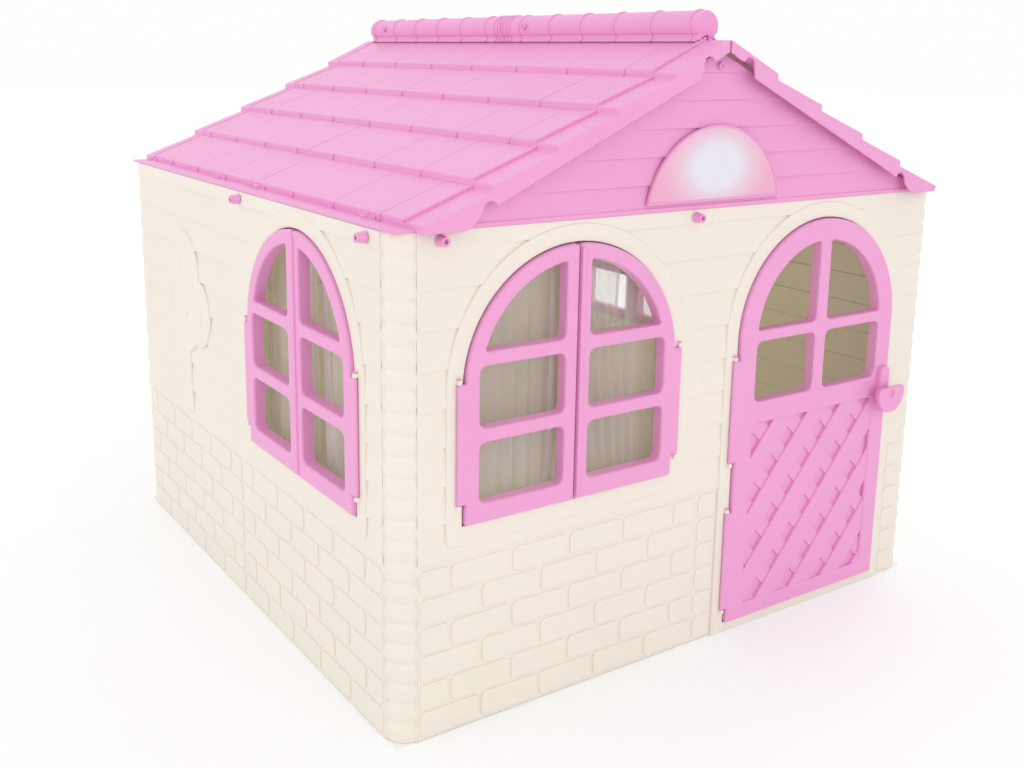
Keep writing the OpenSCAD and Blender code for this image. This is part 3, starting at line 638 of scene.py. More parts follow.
def hooks(bm, place, across):
    """Hooks behind the wall for the curtain rod."""
    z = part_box("front_curtain_rod")[1].z - 0.005
    half_t, foot = 0.003, z - 0.012
    # arm, cradle and lip, from near to far behind the wall
    parts = ((0.001, 0.0365, 0.010), (0.036, 0.050, -0.0035), (0.0435, 0.050, 0.010))
    for x in (-across, across):
        for near, far, rise in parts:
            block(bm, (x - half_t, near, foot), (x + half_t, far, z + rise), place, 0.001)


def tree(bm, place, base):
    """A plain tree in low relief."""
    right = [(0.030, base + 0.012), (0.019, base + 0.10), (0.024, base + 0.19)]
    trunk = [(-0.030, base + 0.012)] + right + [(-x, z) for x, z in right[:0:-1]]
    plate(bm, [rounded(trunk, 0.02, 5)], 0.0001, 0.0062, 0.0026, place @ UP)
    crown = [(-0.080, 0.560, 0.074, 0.0066), (0.080, 0.560, 0.074, 0.0066),
             (0.0, 0.540, 0.080, 0.0060), (0.0, 0.640, 0.092, 0.0070)]
    for x, z, radius, proud in crown:
        plate(bm, [arc(x, z, radius, 0, 354, 59)], 0.0001, proud, 0.003, place @ UP, 4)
    for x, z in ((-0.095, 0.575), (-0.03, 0.655), (0.045, 0.625), (0.09, 0.555), (0.0, 0.56)):
        plate(bm, [arc(x, z, 0.020, 0, 342, 19)], 0.004, 0.0085, 0.002, place @ UP)


def column(name, side):
    """A corner column: a quarter turn of a scalloped outline, with a top."""
    rings = settings("walls").rings
    pitch = WALL_H / rings
    swell, steps, wall_t = 0.050, 8, 0.007
    outline = []
    for k in range(rings):
        for step in range(steps):
            rise = (step / steps - 0.5) * pitch
            radius = COLUMN_R - swell + math.sqrt(swell * swell - rise * rise)
            outline.append((radius, (k + 0.5) * pitch + rise))
    outline.append((outline[0][0], WALL_H))
    outline += [(COLUMN_R - wall_t, WALL_H), (COLUMN_R - wall_t, 0)]
    bm = bmesh.new()
    verts = [bm.verts.new((-r, 0, z)) for r, z in outline]
    edges = [bm.edges.new((a, b)) for a, b in zip(verts, verts[1:] + verts[:1])]
    bmesh.ops.spin(
        bm, geom=verts + edges, axis=(0, 0, 1), cent=(0, 0, 0), angle=math.radians(90), steps=14,
    )
    bmesh.ops.holes_fill(bm, edges=bm.edges)
    top = [(0, 0)] + arc(0, 0, COLUMN_R - 0.004, 180, 270, 14)
    plate(bm, [top], WALL_H - SKIN, WALL_H, 0.0003, HERE, 1)
    # straight edge beside each panel, and the two sides of the slot for its tongue
    for turn in (HERE, Matrix(((0, 1, 0, 0), (1, 0, 0, 0), (0, 0, 1, 0), (0, 0, 0, 1)))):
        block(bm, (-0.0036, -COLUMN_R + 0.0002, 0), (-0.0002, -COLUMN_R + 0.008, WALL_H), turn, 0.0008)
        block(bm, (-0.016, -0.033, 0), (-0.013, -0.0224, WALL_H - SKIN), turn)
        block(bm, (-0.016, -0.0257, 0), (-0.0003, -0.0227, WALL_H - SKIN), turn)
    corner = Matrix.Rotation(math.radians(90 * side), 4, "Z")
    corner = corner @ Matrix.Translation((COLUMN_R - HALF, COLUMN_R - HALF, 0))
    bmesh.ops.transform(bm, matrix=corner, verts=bm.verts)
    piece(name + "_ribbed", bm, HOUSE, "cream_columns", [name], 24)


# ---- gables ----


def ridge_z():
    roof = settings("roof")
    return WALL_H + roof.eave + roof.rise


def eave_x():
    return HALF - settings("roof").inset


def slope():
    return settings("roof").rise / eave_x()


def roof_line(x):
    return ridge_z() - slope() * abs(x)


def under_drop():
    """How far a course's underside lies below the roof line."""
    return settings("roof").step + SHEET + STEP_BACK * slope()


def slope_band(x0, x1, first, second):
    """A strip along the roof line, from a first to a second depth below it."""
    corners = ((x0, first), (x1, first), (x1, second), (x0, second))
    return [(x, roof_line(x) - depth) for x, depth in corners]


def gable(name, side):
    """A gable of boards cut under the roof, with a rim behind and a tab for the bolts."""
    roof, walls = settings("roof"), settings("walls")
    place = on_side(side)
    base = WALL_H + FIT
    top = base + 5 * roof.board
    drop = under_drop() + roof.border_drop + FIT
    bm = bmesh.new()
    boards = board_loop(base, top + roof.board, top, roof.board, walls.step)
    plate(bm, [rounded(boards, 0.001, 2)], -HALF, HALF, 0.0004, ALONG, 1)
    for across in (-1, 1):
        sliced(bm, (0, 0, ridge_z() - drop), Vector((across * slope(), 0, 1)).normalized())
    for across in (-1, 1):
        end = (roof.rise - drop + roof.eave) / slope() - 0.012
        rim = [(across * x, z) for x, z in slope_band(0.004, end, drop, drop + 0.005)]
        plate(bm, [rim], -0.022, -0.001, 0.0008, UP, 2)
    # base moulding and the tab behind the wall
    moulding = rectangle(-HALF + 0.07, base, HALF - 0.07, base + 0.008, 0.002)
    plate(bm, [moulding], 0.002, 0.0055, 0.0015, UP)
    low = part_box(name)[0]
    block(bm, (-HALF + 0.052, TAB, low.z), (HALF - 0.052, TAB + SKIN, base + 0.006))
    bmesh.ops.transform(bm, matrix=place, verts=bm.verts)
    piece(name + "_boarded", bm, HOUSE, "pink_roof", [name])


def plaque():
    """The bare half-round plaque on the front gable."""
    low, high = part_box("badge_plaque")
    width, height = high.x - low.x, high.z - low.z
    radius = (width * width / 4 + height * height) / (2 * height)
    lean = math.degrees(math.asin((radius - height) / radius))
    loop = arc(0, high.z - radius, radius, lean, 180 - lean, 60)
    place = on_side(0) @ UP
    bm = bmesh.new()
    plate(bm, [loop], 0.0043, 0.0100, 0.0018, place)
    piece("plaque_face", bm, HOUSE, "badge_plastic", ["badge_plaque"])
    rim = bmesh.new()
    inner = [(x * 0.965, low.z + 0.004 + (z - low.z) * 0.945) for x, z in loop]
    plate(rim, [loop, inner], 0.0095, 0.0115, 0.0009, place)
    piece("plaque_edge", rim, HOUSE, "pink_roof")


# ---- roof ----


def slope_steps(low):
    """Top of the slope that falls to -X, from the eave up, its courses low by that much."""
    roof = settings("roof")
    pitch, rise = eave_x() / roof.courses, roof.rise / roof.courses
    points = []
    for k in range(roof.courses):
        z = WALL_H + roof.eave + k * rise - low
        drop = roof.step if k < roof.courses - 1 else 0.0
        points += [(-eave_x() + k * pitch, z), (-eave_x() + (k + 1) * pitch, z + rise - drop)]
    return [(min(x, -RIDGE_GAP), z) for x, z in points]


def stepped_sheet(low, thick):
    top = slope_steps(low)
    under = [(min(x + STEP_BACK, -RIDGE_GAP), z - thick) for x, z in reversed(top)]
    return top + under


def fascia_loop(low):
    """The board at a gable end: stepped top, hooked foot and a notch at the peak."""
    roof = settings("roof")
    peak = ridge_z()
    foot, notch = -HALF + 0.111, -HALF + 0.155
    neck = notch + 0.020
    neck_z = roof_line(neck) - roof.fascia
    base = WALL_H + FIT
    lower = [(-RIDGE_GAP, peak - 0.0255), (-0.010, peak - 0.0285), (-0.020, peak - 0.035)]
    lower += [(-0.0285, peak - 0.0385)] + arc(-0.0475, peak - 0.0450, 0.0125, 20, 175, 10)
    lower += [(-0.061, peak - 0.054), (-0.064, roof_line(0.064) - roof.fascia)]
    lower += [(neck + 0.004, neck_z + 0.002), (neck - 0.004, neck_z - 0.003)]
    lower += arc(notch, WALL_H + 0.030, 0.014, 20, 150, 8)
    lower += [(notch - 0.018, WALL_H + 0.020), (foot + 0.006, base + 0.002), (foot - 0.008, base)]
    lower += [(-eave_x() + 0.004, base), (-eave_x() - 0.001, WALL_H + roof.eave - 0.006)]
    return slope_steps(low + FIT) + lower


def roof_quarter(name, mirror_x, mirror_y):
    """One quarter of the roof, drawn at the left front and mirrored into place."""
    roof = settings("roof")
    field = -ROOF_END + roof.border
    seam = -SEAM
    chance = random.Random(11 if mirror_y else 5)
    bm = bmesh.new()
    # the moulded sheet, lower than the tiles by their relief
    relief = 0.0012
    plate(bm, [rounded(stepped_sheet(relief, 0.005), 0.001, 2)], -seam, -field, 0.0003, UP, 1)
    border = rounded(stepped_sheet(roof.border_drop, SHEET), 0.0022, 3)
    plate(bm, [border], -field - 0.001, ROOF_END - 0.0012, 0.002, UP)
    bead = rounded(stepped_sheet(-0.002, 0.009), 0.0022, 3)
    plate(bm, [bead], -field - 0.005, -field + 0.001, 0.0016, UP)
    plate(bm, [rounded(fascia_loop(roof.border_drop), 0.0022, 2)], ROOF_END - 0.005, ROOF_END, 0.0016, UP)
    tiles(bm, roof, field + 0.004, seam, mirror_y, chance)
    ridge_upstand(bm, roof, seam)
    eave_edge(bm, seam, (-0.62, -0.17) if mirror_y else (-0.49, -0.04))
    if mirror_y:
        lap_strip(bm)
    flip = Matrix.Diagonal((-1 if mirror_x else 1, -1 if mirror_y else 1, 1, 1))
    bmesh.ops.transform(bm, matrix=flip, verts=bm.verts)
    piece(name + "_tiled", bm, HOUSE, "pink_roof", [name])


def tiles(bm, roof, start, end, back, chance):
    """Tiles in courses, with joints staggered by half and slightly uneven edges."""
    pitch, rise = eave_x() / roof.courses, roof.rise / roof.courses
    first_joint, shortest, half_w = 0.111, 0.02, 0.0028
    for course in range(roof.courses):
        x0, z0 = -eave_x() + course * pitch, WALL_H + roof.eave + course * rise
        drop = roof.step if course < roof.courses - 1 else 0.0
        x1, z1 = min(x0 + pitch, -RIDGE_GAP), z0 + rise - drop
        # joints are measured from the front of the house, so they run on across the seam
        offset = first_joint + course % 2 * roof.tile / 2
        joints = [offset - HALF + k * roof.tile for k in range(-1, 9)]
        if back:
            joints = sorted(-y for y in joints)
        joints = [y for y in joints if start + shortest < y < end - shortest]
        for y in joints:
            low, high = (x0 - 0.0028, y - half_w, z0 - roof.step), (x0 + 0.004, y + half_w, z0 - 0.0012)
            block(bm, low, high, edge=0.001)
        cuts = [start] + joints + [end]
        for a, b in zip(cuts, cuts[1:]):
            lift = chance.uniform(-0.0003, 0.0003)
            out = chance.uniform(-0.0006, 0.0004)
            section = [
                (x0 - out, z0 - roof.step + 0.001), (x0 - out, z0 + lift), (x1, z1 + lift * 0.3),
                (x1, z1 - 0.004), (x0 + 0.008, z0 - 0.006),
            ]
            plate(bm, [rounded(section, 0.0028, 3)], -b + 0.0006, -a - 0.0006, 0.0016, UP, 2)


def ridge_upstand(bm, roof, seam):
    """The upright sheet that stands inside the ridge cap."""
    top = ridge_z() + roof.cap_lift + roof.cap_r - 0.006
    front = -ROOF_END + roof.border + 0.012
    block(bm, (-RIDGE_GAP - SKIN, front, ridge_z() - SHEET), (-RIDGE_GAP, seam, top))


def eave_edge(bm, seam, bosses):
    """The upright edge at the eave, its bosses, the flange on the wall and the tab behind it."""
    x = -eave_x()
    low, high = WALL_H + FIT, WALL_H + settings("roof").eave
    block(bm, (x, -ROOF_END + 0.002, low), (x + SKIN, seam, high - 0.004))
    block(bm, (-HALF - 0.002, -HALF, low), (x + 0.002, seam, low + 0.004), edge=0.0012)
    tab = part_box("roof_left_front")[0].z
    block(bm, (-HALF + TAB, -HALF + 0.06, tab), (-HALF + TAB + SKIN, seam, WALL_H + 0.004))
    boss_r, bump_r, rail = 0.009, 0.0062, 0.030
    for y in bosses:
        bump_x = x - 0.006
        rod(bm, (x, y, low), (x, y, high - 0.0035), boss_r, 0.002, 28)
        rod(bm, (bump_x, y, low), (bump_x, y, high - 0.0075), bump_r, 0.0015, 24)
        block(bm, (x - 0.003, y - rail, low), (x, y + rail, high - 0.006), edge=0.0012)


def lap_strip(bm):
    """The strip that passes under the next section."""
    drop = under_drop()
    for near, top in ((0.024, drop + FIT), (-FIT, drop - 0.003)):
        loop = slope_band(-eave_x() + 0.012, -0.008, drop + 0.003 + FIT, top)
        plate(bm, [loop], -near, 0.020, 0.0003, UP, 1)


def cap_outline(grow):
    """Keyhole outline of the ridge cap: a round top on a waisted neck."""
    roof = settings("roof")
    peak = ridge_z()
    centre = peak + roof.cap_lift
    foot = 0.0240
    neck = ((0.0215, 0.0065), (0.0205, 0.001), (0.0215, -0.003), (0.0245, -0.0072))
    right = arc(0, centre, roof.cap_r + grow, 90, -28, 18)
    right += [(x + grow, peak + z) for x, z in neck]
    inside = [(foot + grow, roof_line(foot) + 0.0031), (0.0, peak + 0.0034)]
    return right + inside + [(-x, z) for x, z in reversed(right[1:])]


def ridge_cap(name, mirror):
    """One half of the ridge cap, with rings and a rounded end."""
    roof = settings("roof")
    end = ROOF_END - roof.border
    bm = bmesh.new()
    plate(bm, [cap_outline(-0.001)], SEAM, end, 0.0045, UP, 4)
    # rings along the cap, and three close together at the seam
    half_w, proud = 0.0028, 0.0014
    places = [end - 0.020 - k * roof.ring for k in range(6)] + [0.030, 0.017, 0.004]
    for y in places:
        plate(bm, [cap_outline(proud)], y - half_w, y + half_w, 0.0018, UP)
    if mirror:
        bmesh.ops.transform(bm, matrix=Matrix.Diagonal((1, -1, 1, 1)), verts=bm.verts)
    piece(name + "_ringed", bm, HOUSE, "pink_roof", [name])


# ---- shutters and door ----


def turned_back(bm, outline, inset, holes, place):
    """The sheet's edges turned back, around the leaf and around each opening."""
    for outer, inner in [(outline, inset)] + [(grown(hole, 0.0035), hole) for hole in holes]:
        plate(bm, [outer, inner], BACK, TURNED, 0.0006, place, 1)


def shutter(name, side, which, hand, body):
    """A hollow-backed shutter; hand is -1 for the left leaf and 1 for the right."""
    leaves = settings("leaves")
    radius, spring = leaves.window_r, WINDOW_HIGH - leaves.window_r
    place = on_side(side, which * PANEL_MID) @ UP
    inner, outer = leaves.gap / 2 + leaves.bar, radius - leaves.stile
    base = WINDOW_LOW + leaves.rail
    frame_loop = half_arch(hand, leaves.gap / 2, radius, WINDOW_LOW, spring, 0.004)
    lows = [base + k * (leaves.pane + leaves.bar) for k in range(3)]
    holes = [rectangle(hand * inner, z, hand * outer, z + leaves.pane, 0.014) for z in lows[:2]]
    holes.append(rounded(pane_head(hand, inner, outer, lows[2], spring), 0.014, 5))
    inset = half_arch(hand, leaves.gap / 2 + SKIN, radius - SKIN, WINDOW_LOW + SKIN, spring, 0.003)
    bm = bmesh.new()
    plate(bm, [frame_loop] + holes, 0.004, FACE, 0.0042, place, 4)
    turned_back(bm, frame_loop, inset, holes, place)
    if hand > 0:
        x = leaves.gap / 2
        bead = rectangle(x + 0.0005, WINDOW_LOW + 0.004, x + 0.009, WINDOW_HIGH - 0.006, 0.003)
        plate(bm, [bead], TURNED, FACE + 0.0035, 0.0026, place)
    hinge_strip(bm, place, hand, radius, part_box("front_hinge_rods")[0].z + EYE_H + FIT)
    piece(name + "_moulded", bm, body, "pink_joinery", [name])


def pane_head(hand, inner, outer, low, spring):
    """The opening under the arch."""
    lean = math.degrees(math.acos(inner / outer))
    points = arc(0, spring, outer, math.degrees(math.asin((low - spring) / outer)), lean, 16)
    return [(hand * x, z) for x, z in [(inner, low)] + points]


def grown(loop, amount):
    """A loop scaled about its middle until each side lies out by amount."""
    low = [min(p[i] for p in loop) for i in (0, 1)]
    high = [max(p[i] for p in loop) for i in (0, 1)]
    centre = [(low[i] + high[i]) / 2 for i in (0, 1)]
    scale = [1 + 2 * amount / (high[i] - low[i]) for i in (0, 1)]
    return [tuple(centre[i] + (p[i] - centre[i]) * scale[i] for i in (0, 1)) for p in loop]


def hinge_strip(bm, place, hand, edge, low):
    """The strip along a leaf's edge that turns on its rod."""
    x0, x1 = hand * (edge - 0.004), hand * (edge + 0.0158)
    loop = rectangle(min(x0, x1), low, max(x0, x1), low + STRIP_H, 0.0035)
    plate(bm, [loop], FACE - 0.0074, FACE, 0.0033, place)


def door():
    """The door: openings above, a lattice field below, and the boss for the latch."""
    leaves = settings("leaves")
    radius, spring = leaves.door_r, DOOR_HIGH - leaves.door_r
    place = on_side(0, PANEL_MID) @ UP
    field = radius - leaves.door_stile
    inner, outer = leaves.door_bar / 2, field
    low_top = spring - 0.006
    holes = []
    for hand in (-1, 1):
        holes.append(rectangle(hand * inner, leaves.door_pane, hand * outer, low_top, 0.016))
        holes.append(rounded(pane_head(hand, inner, outer, low_top + leaves.door_cross, spring), 0.014, 5))
    recess = rectangle(-field, leaves.lattice_low, field, leaves.lattice_high, 0.014)
    outline = arch(radius, DOOR_LOW, spring, 0.006)
    bm = bmesh.new()
    plate(bm, [outline, recess] + holes, 0.004, FACE, 0.0038, place, 4)
    turned_back(bm, outline, arch(radius - SKIN, DOOR_LOW + SKIN, spring, 0.004), holes, place)
    lattice(bm, leaves, field, place)
    rod_low, rod_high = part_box("door_hinge_rods")
    for z in (rod_low.z + EYE_H + FIT, rod_high.z - STRIP_H - 0.0106):
        hinge_strip(bm, place, -1, radius, z)
    # boss and barrel of the latch
    knob_low, knob_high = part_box("latch_knob")
    x, z = (knob_low.x + knob_high.x) / 2 - PANEL_MID, knob_low.z + 0.040
    boss_r, boss_t, barrel_r = 0.014, 0.012, 0.010
    boss = rectangle(x - boss_r, z - 0.021, x + boss_r, z + 0.054, boss_r)
    plate(bm, [boss], FACE - 0.003, FACE + boss_t, 0.0035, place)
    rod(bm, place @ Vector((x, z, BACK)), place @ Vector((x, z, FACE - 0.002)), barrel_r)
    piece("door_leaf_moulded", bm, "door", "pink_joinery", ["door_leaf"])


def lattice(bm, leaves, field, place):
    """Back sheet of the lattice field, with strips crossing in two layers."""
    low, high = leaves.lattice_low - 0.004, leaves.lattice_high + 0.004
    middle = (low + high) / 2
    width = field + 0.004
    back_sheet = rectangle(-width, low, width, high, 0.014)
    plate(bm, [back_sheet], FACE - 0.0135, FACE - 0.0095, 0.0008, place, 1)
    reach, count = 0.33, 5
    for angle, strip, pitch, shift, front, edge in (
        (-45, leaves.slat, leaves.slat_pitch, leaves.slat_pitch / 4, -0.0058, 0.0009),
        (leaves.lean, leaves.band, leaves.band_pitch, leaves.band_pitch / 2, -0.0024, 0.0018),
    ):
        layer = bmesh.new()
        turn = Matrix.Translation((0, middle, 0)) @ Matrix.Rotation(math.radians(angle), 4, "Z")
        for k in range(-count, count + 1):
            y = k * pitch + shift
            plate(layer, [rectangle(-reach, y - strip / 2, reach, y + strip / 2)],
                  FACE - 0.011, FACE + front, edge, turn, 2)
        for point, outward in (((width, 0, 0), (1, 0, 0)), ((-width, 0, 0), (-1, 0, 0)),
                               ((0, high, 0), (0, 1, 0)), ((0, low, 0), (0, -1, 0))):
            sliced(layer, point, outward)
        bmesh.ops.transform(layer, matrix=place, verts=layer.verts)
        holder = meshed("layer", layer)
        bm.from_mesh(holder)
        bpy.data.meshes.remove(holder)


def latch():
    """The half-round thumb turn with its slot, neck and axle."""
    low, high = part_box("latch_knob")
    radius = (high.x - low.x) / 2
    x, z = (low.x + high.x) / 2, low.z + radius
    face = low.y
    flat = high.z - z
    lean = math.degrees(math.asin(flat / radius))
    loop = rounded(arc(x, z, radius, 180 - lean, 360 + lean, 40), 0.004, 2)
    head_t, hole_r, seat_r, neck_r, axle_r = 0.012, 0.0075, 0.009, 0.011, 0.006
    neck_end = face + 0.020
    slot = rectangle(x - 0.0022, z - 0.024, x + 0.0022, z - 0.007, 0.002)
    bm = bmesh.new()
    plate(bm, [loop, arc(x, z, hole_r, 0, 345, 23)], -face - head_t, -face, 0.003, UP)
    plate(bm, [arc(x, z, seat_r, 0, 350, 35)], -face - head_t, -face - 0.004, 0.0006, UP, 1)
    plate(bm, [slot], -face - 0.003, -face - 0.0002, 0.001, UP)
    rod(bm, (x, face + head_t - 0.001, z), (x, neck_end, z), neck_r, 0.0008)
    rod(bm, (x, neck_end - 0.001, z), (x, high.y, z), axle_r, 0.0006)
    piece("latch_knob_moulded", bm, "latch", "pink_joinery", ["latch_knob"])


# ---- curtains ----


def curtain(name, side, hand, swept):
    """A gathered curtain on its rod, with folds that open downwards."""
    curtains = settings("curtains")
    low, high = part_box(name)
    place = on_side(side)
    corners = [place.inverted() @ Vector((x, y, 0)) for x in (low.x, high.x) for y in (low.y, high.y)]
    x0, x1 = min(c.x for c in corners), max(c.x for c in corners)
    y0 = (min(c.y for c in corners) + max(c.y for c in corners)) / 2
    drop = high.z - low.z
    columns, rows, deepest = 132, 60, 0.0088
    bm = bmesh.new()
    bmesh.ops.create_grid(bm, x_segments=columns, y_segments=rows, size=0.5, calc_uvs=False)
    uv = bm.loops.layers.uv.new("cloth")
    cut = (x1 - x0) * curtains.fullness
    for face in bm.faces:
        for loop in face.loops:
            loop[uv].uv = ((loop.vert.co.x + 0.5) * cut, (loop.vert.co.y + 0.5) * drop)
    hems = bm.verts.layers.float.new("hem")
    chance = random.Random(len(name) * 7 + side)
    phases = [chance.uniform(0, math.tau) for _ in range(3)]
    for vert in bm.verts:
        across, up = vert.co.x + 0.5, vert.co.y + 0.5
        fall = 1 - up
        edge = min(across * cut, (1 - across) * cut, up * drop, fall * drop)
        vert[hems] = 1.0 if edge < curtains.hem else 0.0
        turn = math.tau * curtains.folds * across
        deep = (0.0030 + 0.0036 * fall) * (0.65 + 0.35 * math.sin(math.tau * 1.3 * across + phases[2]))
        drift = 0.9 * math.sin(2.1 * fall + phases[1]) + 1.4 * math.sin(math.tau * 0.8 * across + phases[2])
        fold = math.sin(turn + phases[0] + drift)
        fold += 0.28 * math.sin(2.3 * turn + phases[1]) * fall
        lean = 0.35 * math.cos(turn + phases[0]) * (x1 - x0) / curtains.folds / math.tau
        inner_edge = across if hand < 0 else 1 - across
        aside = hand * swept * inner_edge * fall
        vert.co = (
            x0 + (x1 - x0) * across + lean + aside,
            y0 + max(-deepest, min(deepest, deep * fold)),
            low.z + drop * up + 0.003 * math.sin(turn * 0.5 + phases[2]) * fall * fall,
        )
    bmesh.ops.transform(bm, matrix=place, verts=bm.verts)
    mesh = meshed(name + "_cloth", bm)
    mesh.polygons.foreach_set("use_smooth", [True] * len(mesh.polygons))
    mesh.materials.append(material("curtain_fabric"))
    thing = placed(name + "_cloth", mesh)
    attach(thing, HOUSE)
    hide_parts(name)


# ---- operators ----


class PLAYHOUSE_OT_walls(Operator):
    """Builds the wall panels and corner columns"""

    bl_idname = "playhouse.walls"
    bl_label = "Walls and columns"

    def execute(self, context):
        for name, side, which, kind in (
            ("front_window", 0, -1, "window"), ("front_door", 0, 1, "door"),
            ("left_window", 3, 1, "window"), ("left_tree", 3, -1, "tree"),
            ("right_window", 1, 1, "window"), ("right_tree", 1, -1, "tree"),
            ("back_left", 2, 1, "tree"), ("back_right", 2, -1, "tree"),
        ):
            panel(name + "_panel", side, which, kind)
        for side, corner in enumerate(("front_left", "front_right", "back_right", "back_left")):
            column("column_" + corner, side)
        return {"FINISHED"}


class PLAYHOUSE_OT_roof(Operator):
    """Builds the gables, the plaque, the roof and the ridge cap"""

    bl_idname = "playhouse.roof"
    bl_label = "Roof and gables"

    def execute(self, context):
        gable("gable_front", 0)
        gable("gable_back", 2)
        plaque()
        for across in ("left", "right"):
            for end in ("front", "back"):
                roof_quarter(f"roof_{across}_{end}", across == "right", end == "back")
        ridge_cap("ridge_cap_front", False)
        ridge_cap("ridge_cap_back", True)
        return {"FINISHED"}


class PLAYHOUSE_OT_shutters(Operator):
    """Builds the three pairs of shutters"""

    bl_idname = "playhouse.shutters"
    bl_label = "Shutters"

    def execute(self, context):
        for wall, side, which, *ends in WINDOWS:
            for hand, end in zip((-1, 1), ends):
                name = f"{wall}_shutter_{end}"
                shutter(name, side, which, hand, name + "_leaf")
        return {"FINISHED"}


class PLAYHOUSE_OT_door(Operator):
    """Builds the door and its latch"""

    bl_idname = "playhouse.door"
    bl_label = "Door and latch"

    def execute(self, context):
        door()
        latch()
        return {"FINISHED"}


class PLAYHOUSE_OT_curtains(Operator):
    """Hangs two curtains at each window"""

    bl_idname = "playhouse.curtains"
    bl_label = "Curtains"

    def execute(self, context):
        for wall, side, _, left, right in WINDOWS:
            swept = 0.05 if wall == "front" else 0.02
            for end, hand, aside in ((left, -1, 0.0), (right, 1, swept)):
                curtain(f"{wall}_curtain_{end}", side, hand, aside)
        return {"FINISHED"}


class PLAYHOUSE_OT_finish(Operator):
    """Gives the pieces that keep their construction shape their moulded finish"""

    bl_idname = "playhouse.finish"
    bl_label = "Small pieces"

    def execute(self, context):
        slots = {s["node"]: s["material_slot"] for s in frame["record"]["subparts"]}
        for name, thing in frame["nodes"].items():
            thing.data.materials.clear()
            thing.data.materials.append(material(slots[name]))
        return {"FINISHED"}


class PLAYHOUSE_OT_stage(Operator):
    """Sets up the pale floor, the soft lamps and the camera"""

    bl_idname = "playhouse.stage"
    bl_label = "Stage"

    def execute(self, context):
        floor()
        lamps()
        camera()
        return {"FINISHED"}


def floor():
    """A large pale floor that keeps the shadow and fades to white."""
    bm = bmesh.new()
    bmesh.ops.create_grid(bm, x_segments=1, y_segments=1, size=30)
    nodes = Nodes(bpy.data.materials.new("floor"))
    # seen by the camera, the floor outside the walls glows a little, the more the farther off
    away = nodes.add("VectorMath", operation="ABSOLUTE")
    nodes.fill(away.inputs[0], nodes.coordinates)
    parts = nodes.add("SeparateXYZ")
    nodes.fill(parts.inputs[0], away.outputs[0])
    reach = nodes.calculated("MAXIMUM", parts.outputs["X"], parts.outputs["Y"])
    outside = nodes.calculated("GREATER_THAN", reach, HALF)
    camera_ray = nodes.add("LightPath").outputs["Is Camera Ray"]
    lit = nodes.calculated("MULTIPLY", outside, camera_ray)
    near = nodes.gradient("SPHERICAL", (0, 0, 0), (1 / FLOOR_FADE,) * 3)
    nodes.shade({
        "Base Color": nodes.blended(lit, (0.94, 0.94, 0.94), (0.55, 0.55, 0.55)),
        "Roughness": 0.6,
        "Specular IOR Level": 0.2,
        "Emission Color": (1, 1, 1, 1),
        "Emission Strength": nodes.calculated("MULTIPLY", nodes.mapped(near, 0.5, 0.42), lit),
    })
    thing = placed("floor", meshed("floor", bm))
    thing.data.materials.append(nodes.holder)
    thing.location.z = -0.0005


def lamps():
    """A pale surround, large soft lamps and a weak glow inside."""
    nodes = Nodes(bpy.data.worlds.new("surround"), "Background")
    bpy.context.scene.world = nodes.holder
    path = nodes.add("LightPath").outputs
    seen = nodes.calculated("MAXIMUM", path["Is Camera Ray"], path["Is Glossy Ray"])
    seen = nodes.calculated("MAXIMUM", seen, path["Is Transmission Ray"])
    nodes.shade({"Color": (1.0, 0.995, 0.985, 1), "Strength": nodes.mapped(seen, 0.86, 1.0)})
    for name, place, size, power in (
        ("key", (0.2, -4.4, 1.9), 2.4, 9), ("front", (-2.2, -4.0, 2.4), 2.8, 8),
        ("low", (-0.4, -4.4, 0.8), 2.2, 9), ("top", (0.2, 0.4, 5.2), 3.2, 14),
        ("side", (-4.6, 0.6, 2.2), 2.4, 26), ("far", (4.4, 1.2, 2.2), 2.4, 20),
    ):
        lamp = bpy.data.lights.new(name, "AREA")
        lamp.shape = "DISK"
        lamp.size = size
        lamp.energy = power
        thing = placed(name, lamp)
        thing.location = place
        aim = Vector((0, 0, 0.5)) - Vector(place)
        thing.rotation_euler = aim.to_track_quat("-Z", "Y").to_euler()
    # the light that the thin walls let through
    glow = bpy.data.lights.new("inside", "POINT")
    glow.color = (0.76, 1.0, 0.54)
    glow.energy = 3.2
    glow.shadow_soft_size = 0.3
    thing = placed("inside", glow)
    thing.location = (0, 0, 0.55)
    thing.visible_camera = False


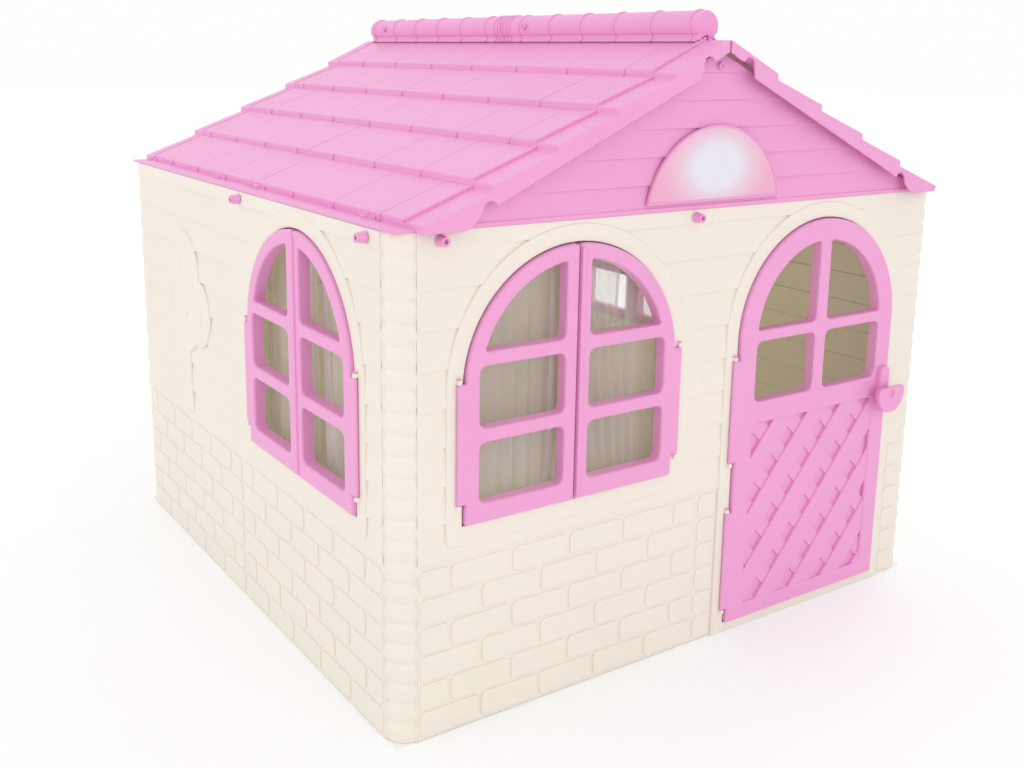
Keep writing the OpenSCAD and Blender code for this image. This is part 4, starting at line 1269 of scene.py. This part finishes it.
def camera():
    """The camera, from its place, heading, tilt and roll."""
    stage = settings("stage")
    heading, tilt, roll = (math.radians(v) for v in (stage.heading, stage.tilt, stage.roll))
    forward = Vector((
        math.sin(heading) * math.cos(tilt), math.cos(heading) * math.cos(tilt), math.sin(tilt)
    ))
    level = Vector((math.cos(heading), -math.sin(heading), 0))
    upward = level.cross(forward)
    right = math.cos(roll) * level + math.sin(roll) * upward
    up = -math.sin(roll) * level + math.cos(roll) * upward
    data = bpy.data.cameras.new("camera")
    data.lens = stage.lens
    data.sensor_width = 36
    data.shift_y = stage.shift
    thing = placed("camera", data)
    turn = Matrix((right, up, -forward)).transposed().to_4x4()
    thing.matrix_world = Matrix.Translation(stage.eye) @ turn
    bpy.context.scene.camera = thing


class PLAYHOUSE_PT_panel(Panel):
    """Lists the steps that build the playhouse"""

    bl_idname = "PLAYHOUSE_PT_panel"
    bl_label = "Playhouse"
    bl_space_type = "VIEW_3D"
    bl_region_type = "UI"
    bl_category = "Playhouse"

    def draw(self, context):
        for operator in OPERATORS:
            self.layout.operator(operator.bl_idname)


GROUPS = {
    "walls": PlayhouseWalls, "leaves": PlayhouseLeaves, "roof": PlayhouseRoof,
    "curtains": PlayhouseCurtains, "finish": PlayhouseFinish, "stage": PlayhouseStage,
}
OPERATORS = (
    PLAYHOUSE_OT_stage, PLAYHOUSE_OT_finish, PLAYHOUSE_OT_walls, PLAYHOUSE_OT_roof,
    PLAYHOUSE_OT_shutters, PLAYHOUSE_OT_door, PLAYHOUSE_OT_curtains,
)


def register():
    for name, group in GROUPS.items():
        bpy.utils.register_class(group)
        setattr(bpy.types.Scene, "playhouse_" + name, PointerProperty(type=group))
    for operator in OPERATORS:
        bpy.utils.register_class(operator)
    bpy.utils.register_class(PLAYHOUSE_PT_panel)


def unregister():
    bpy.utils.unregister_class(PLAYHOUSE_PT_panel)
    for operator in reversed(OPERATORS):
        bpy.utils.unregister_class(operator)
    for name, group in reversed(GROUPS.items()):
        delattr(bpy.types.Scene, "playhouse_" + name)
        bpy.utils.unregister_class(group)


def main():
    register()
    bpy.context.scene.view_settings.view_transform = "Standard"
    for operator in OPERATORS:
        group, name = operator.bl_idname.split(".")
        if getattr(getattr(bpy.ops, group), name)() != {"FINISHED"}:
            raise RuntimeError(operator.bl_idname + " didn't finish")


if __name__ == "__main__":
    main()
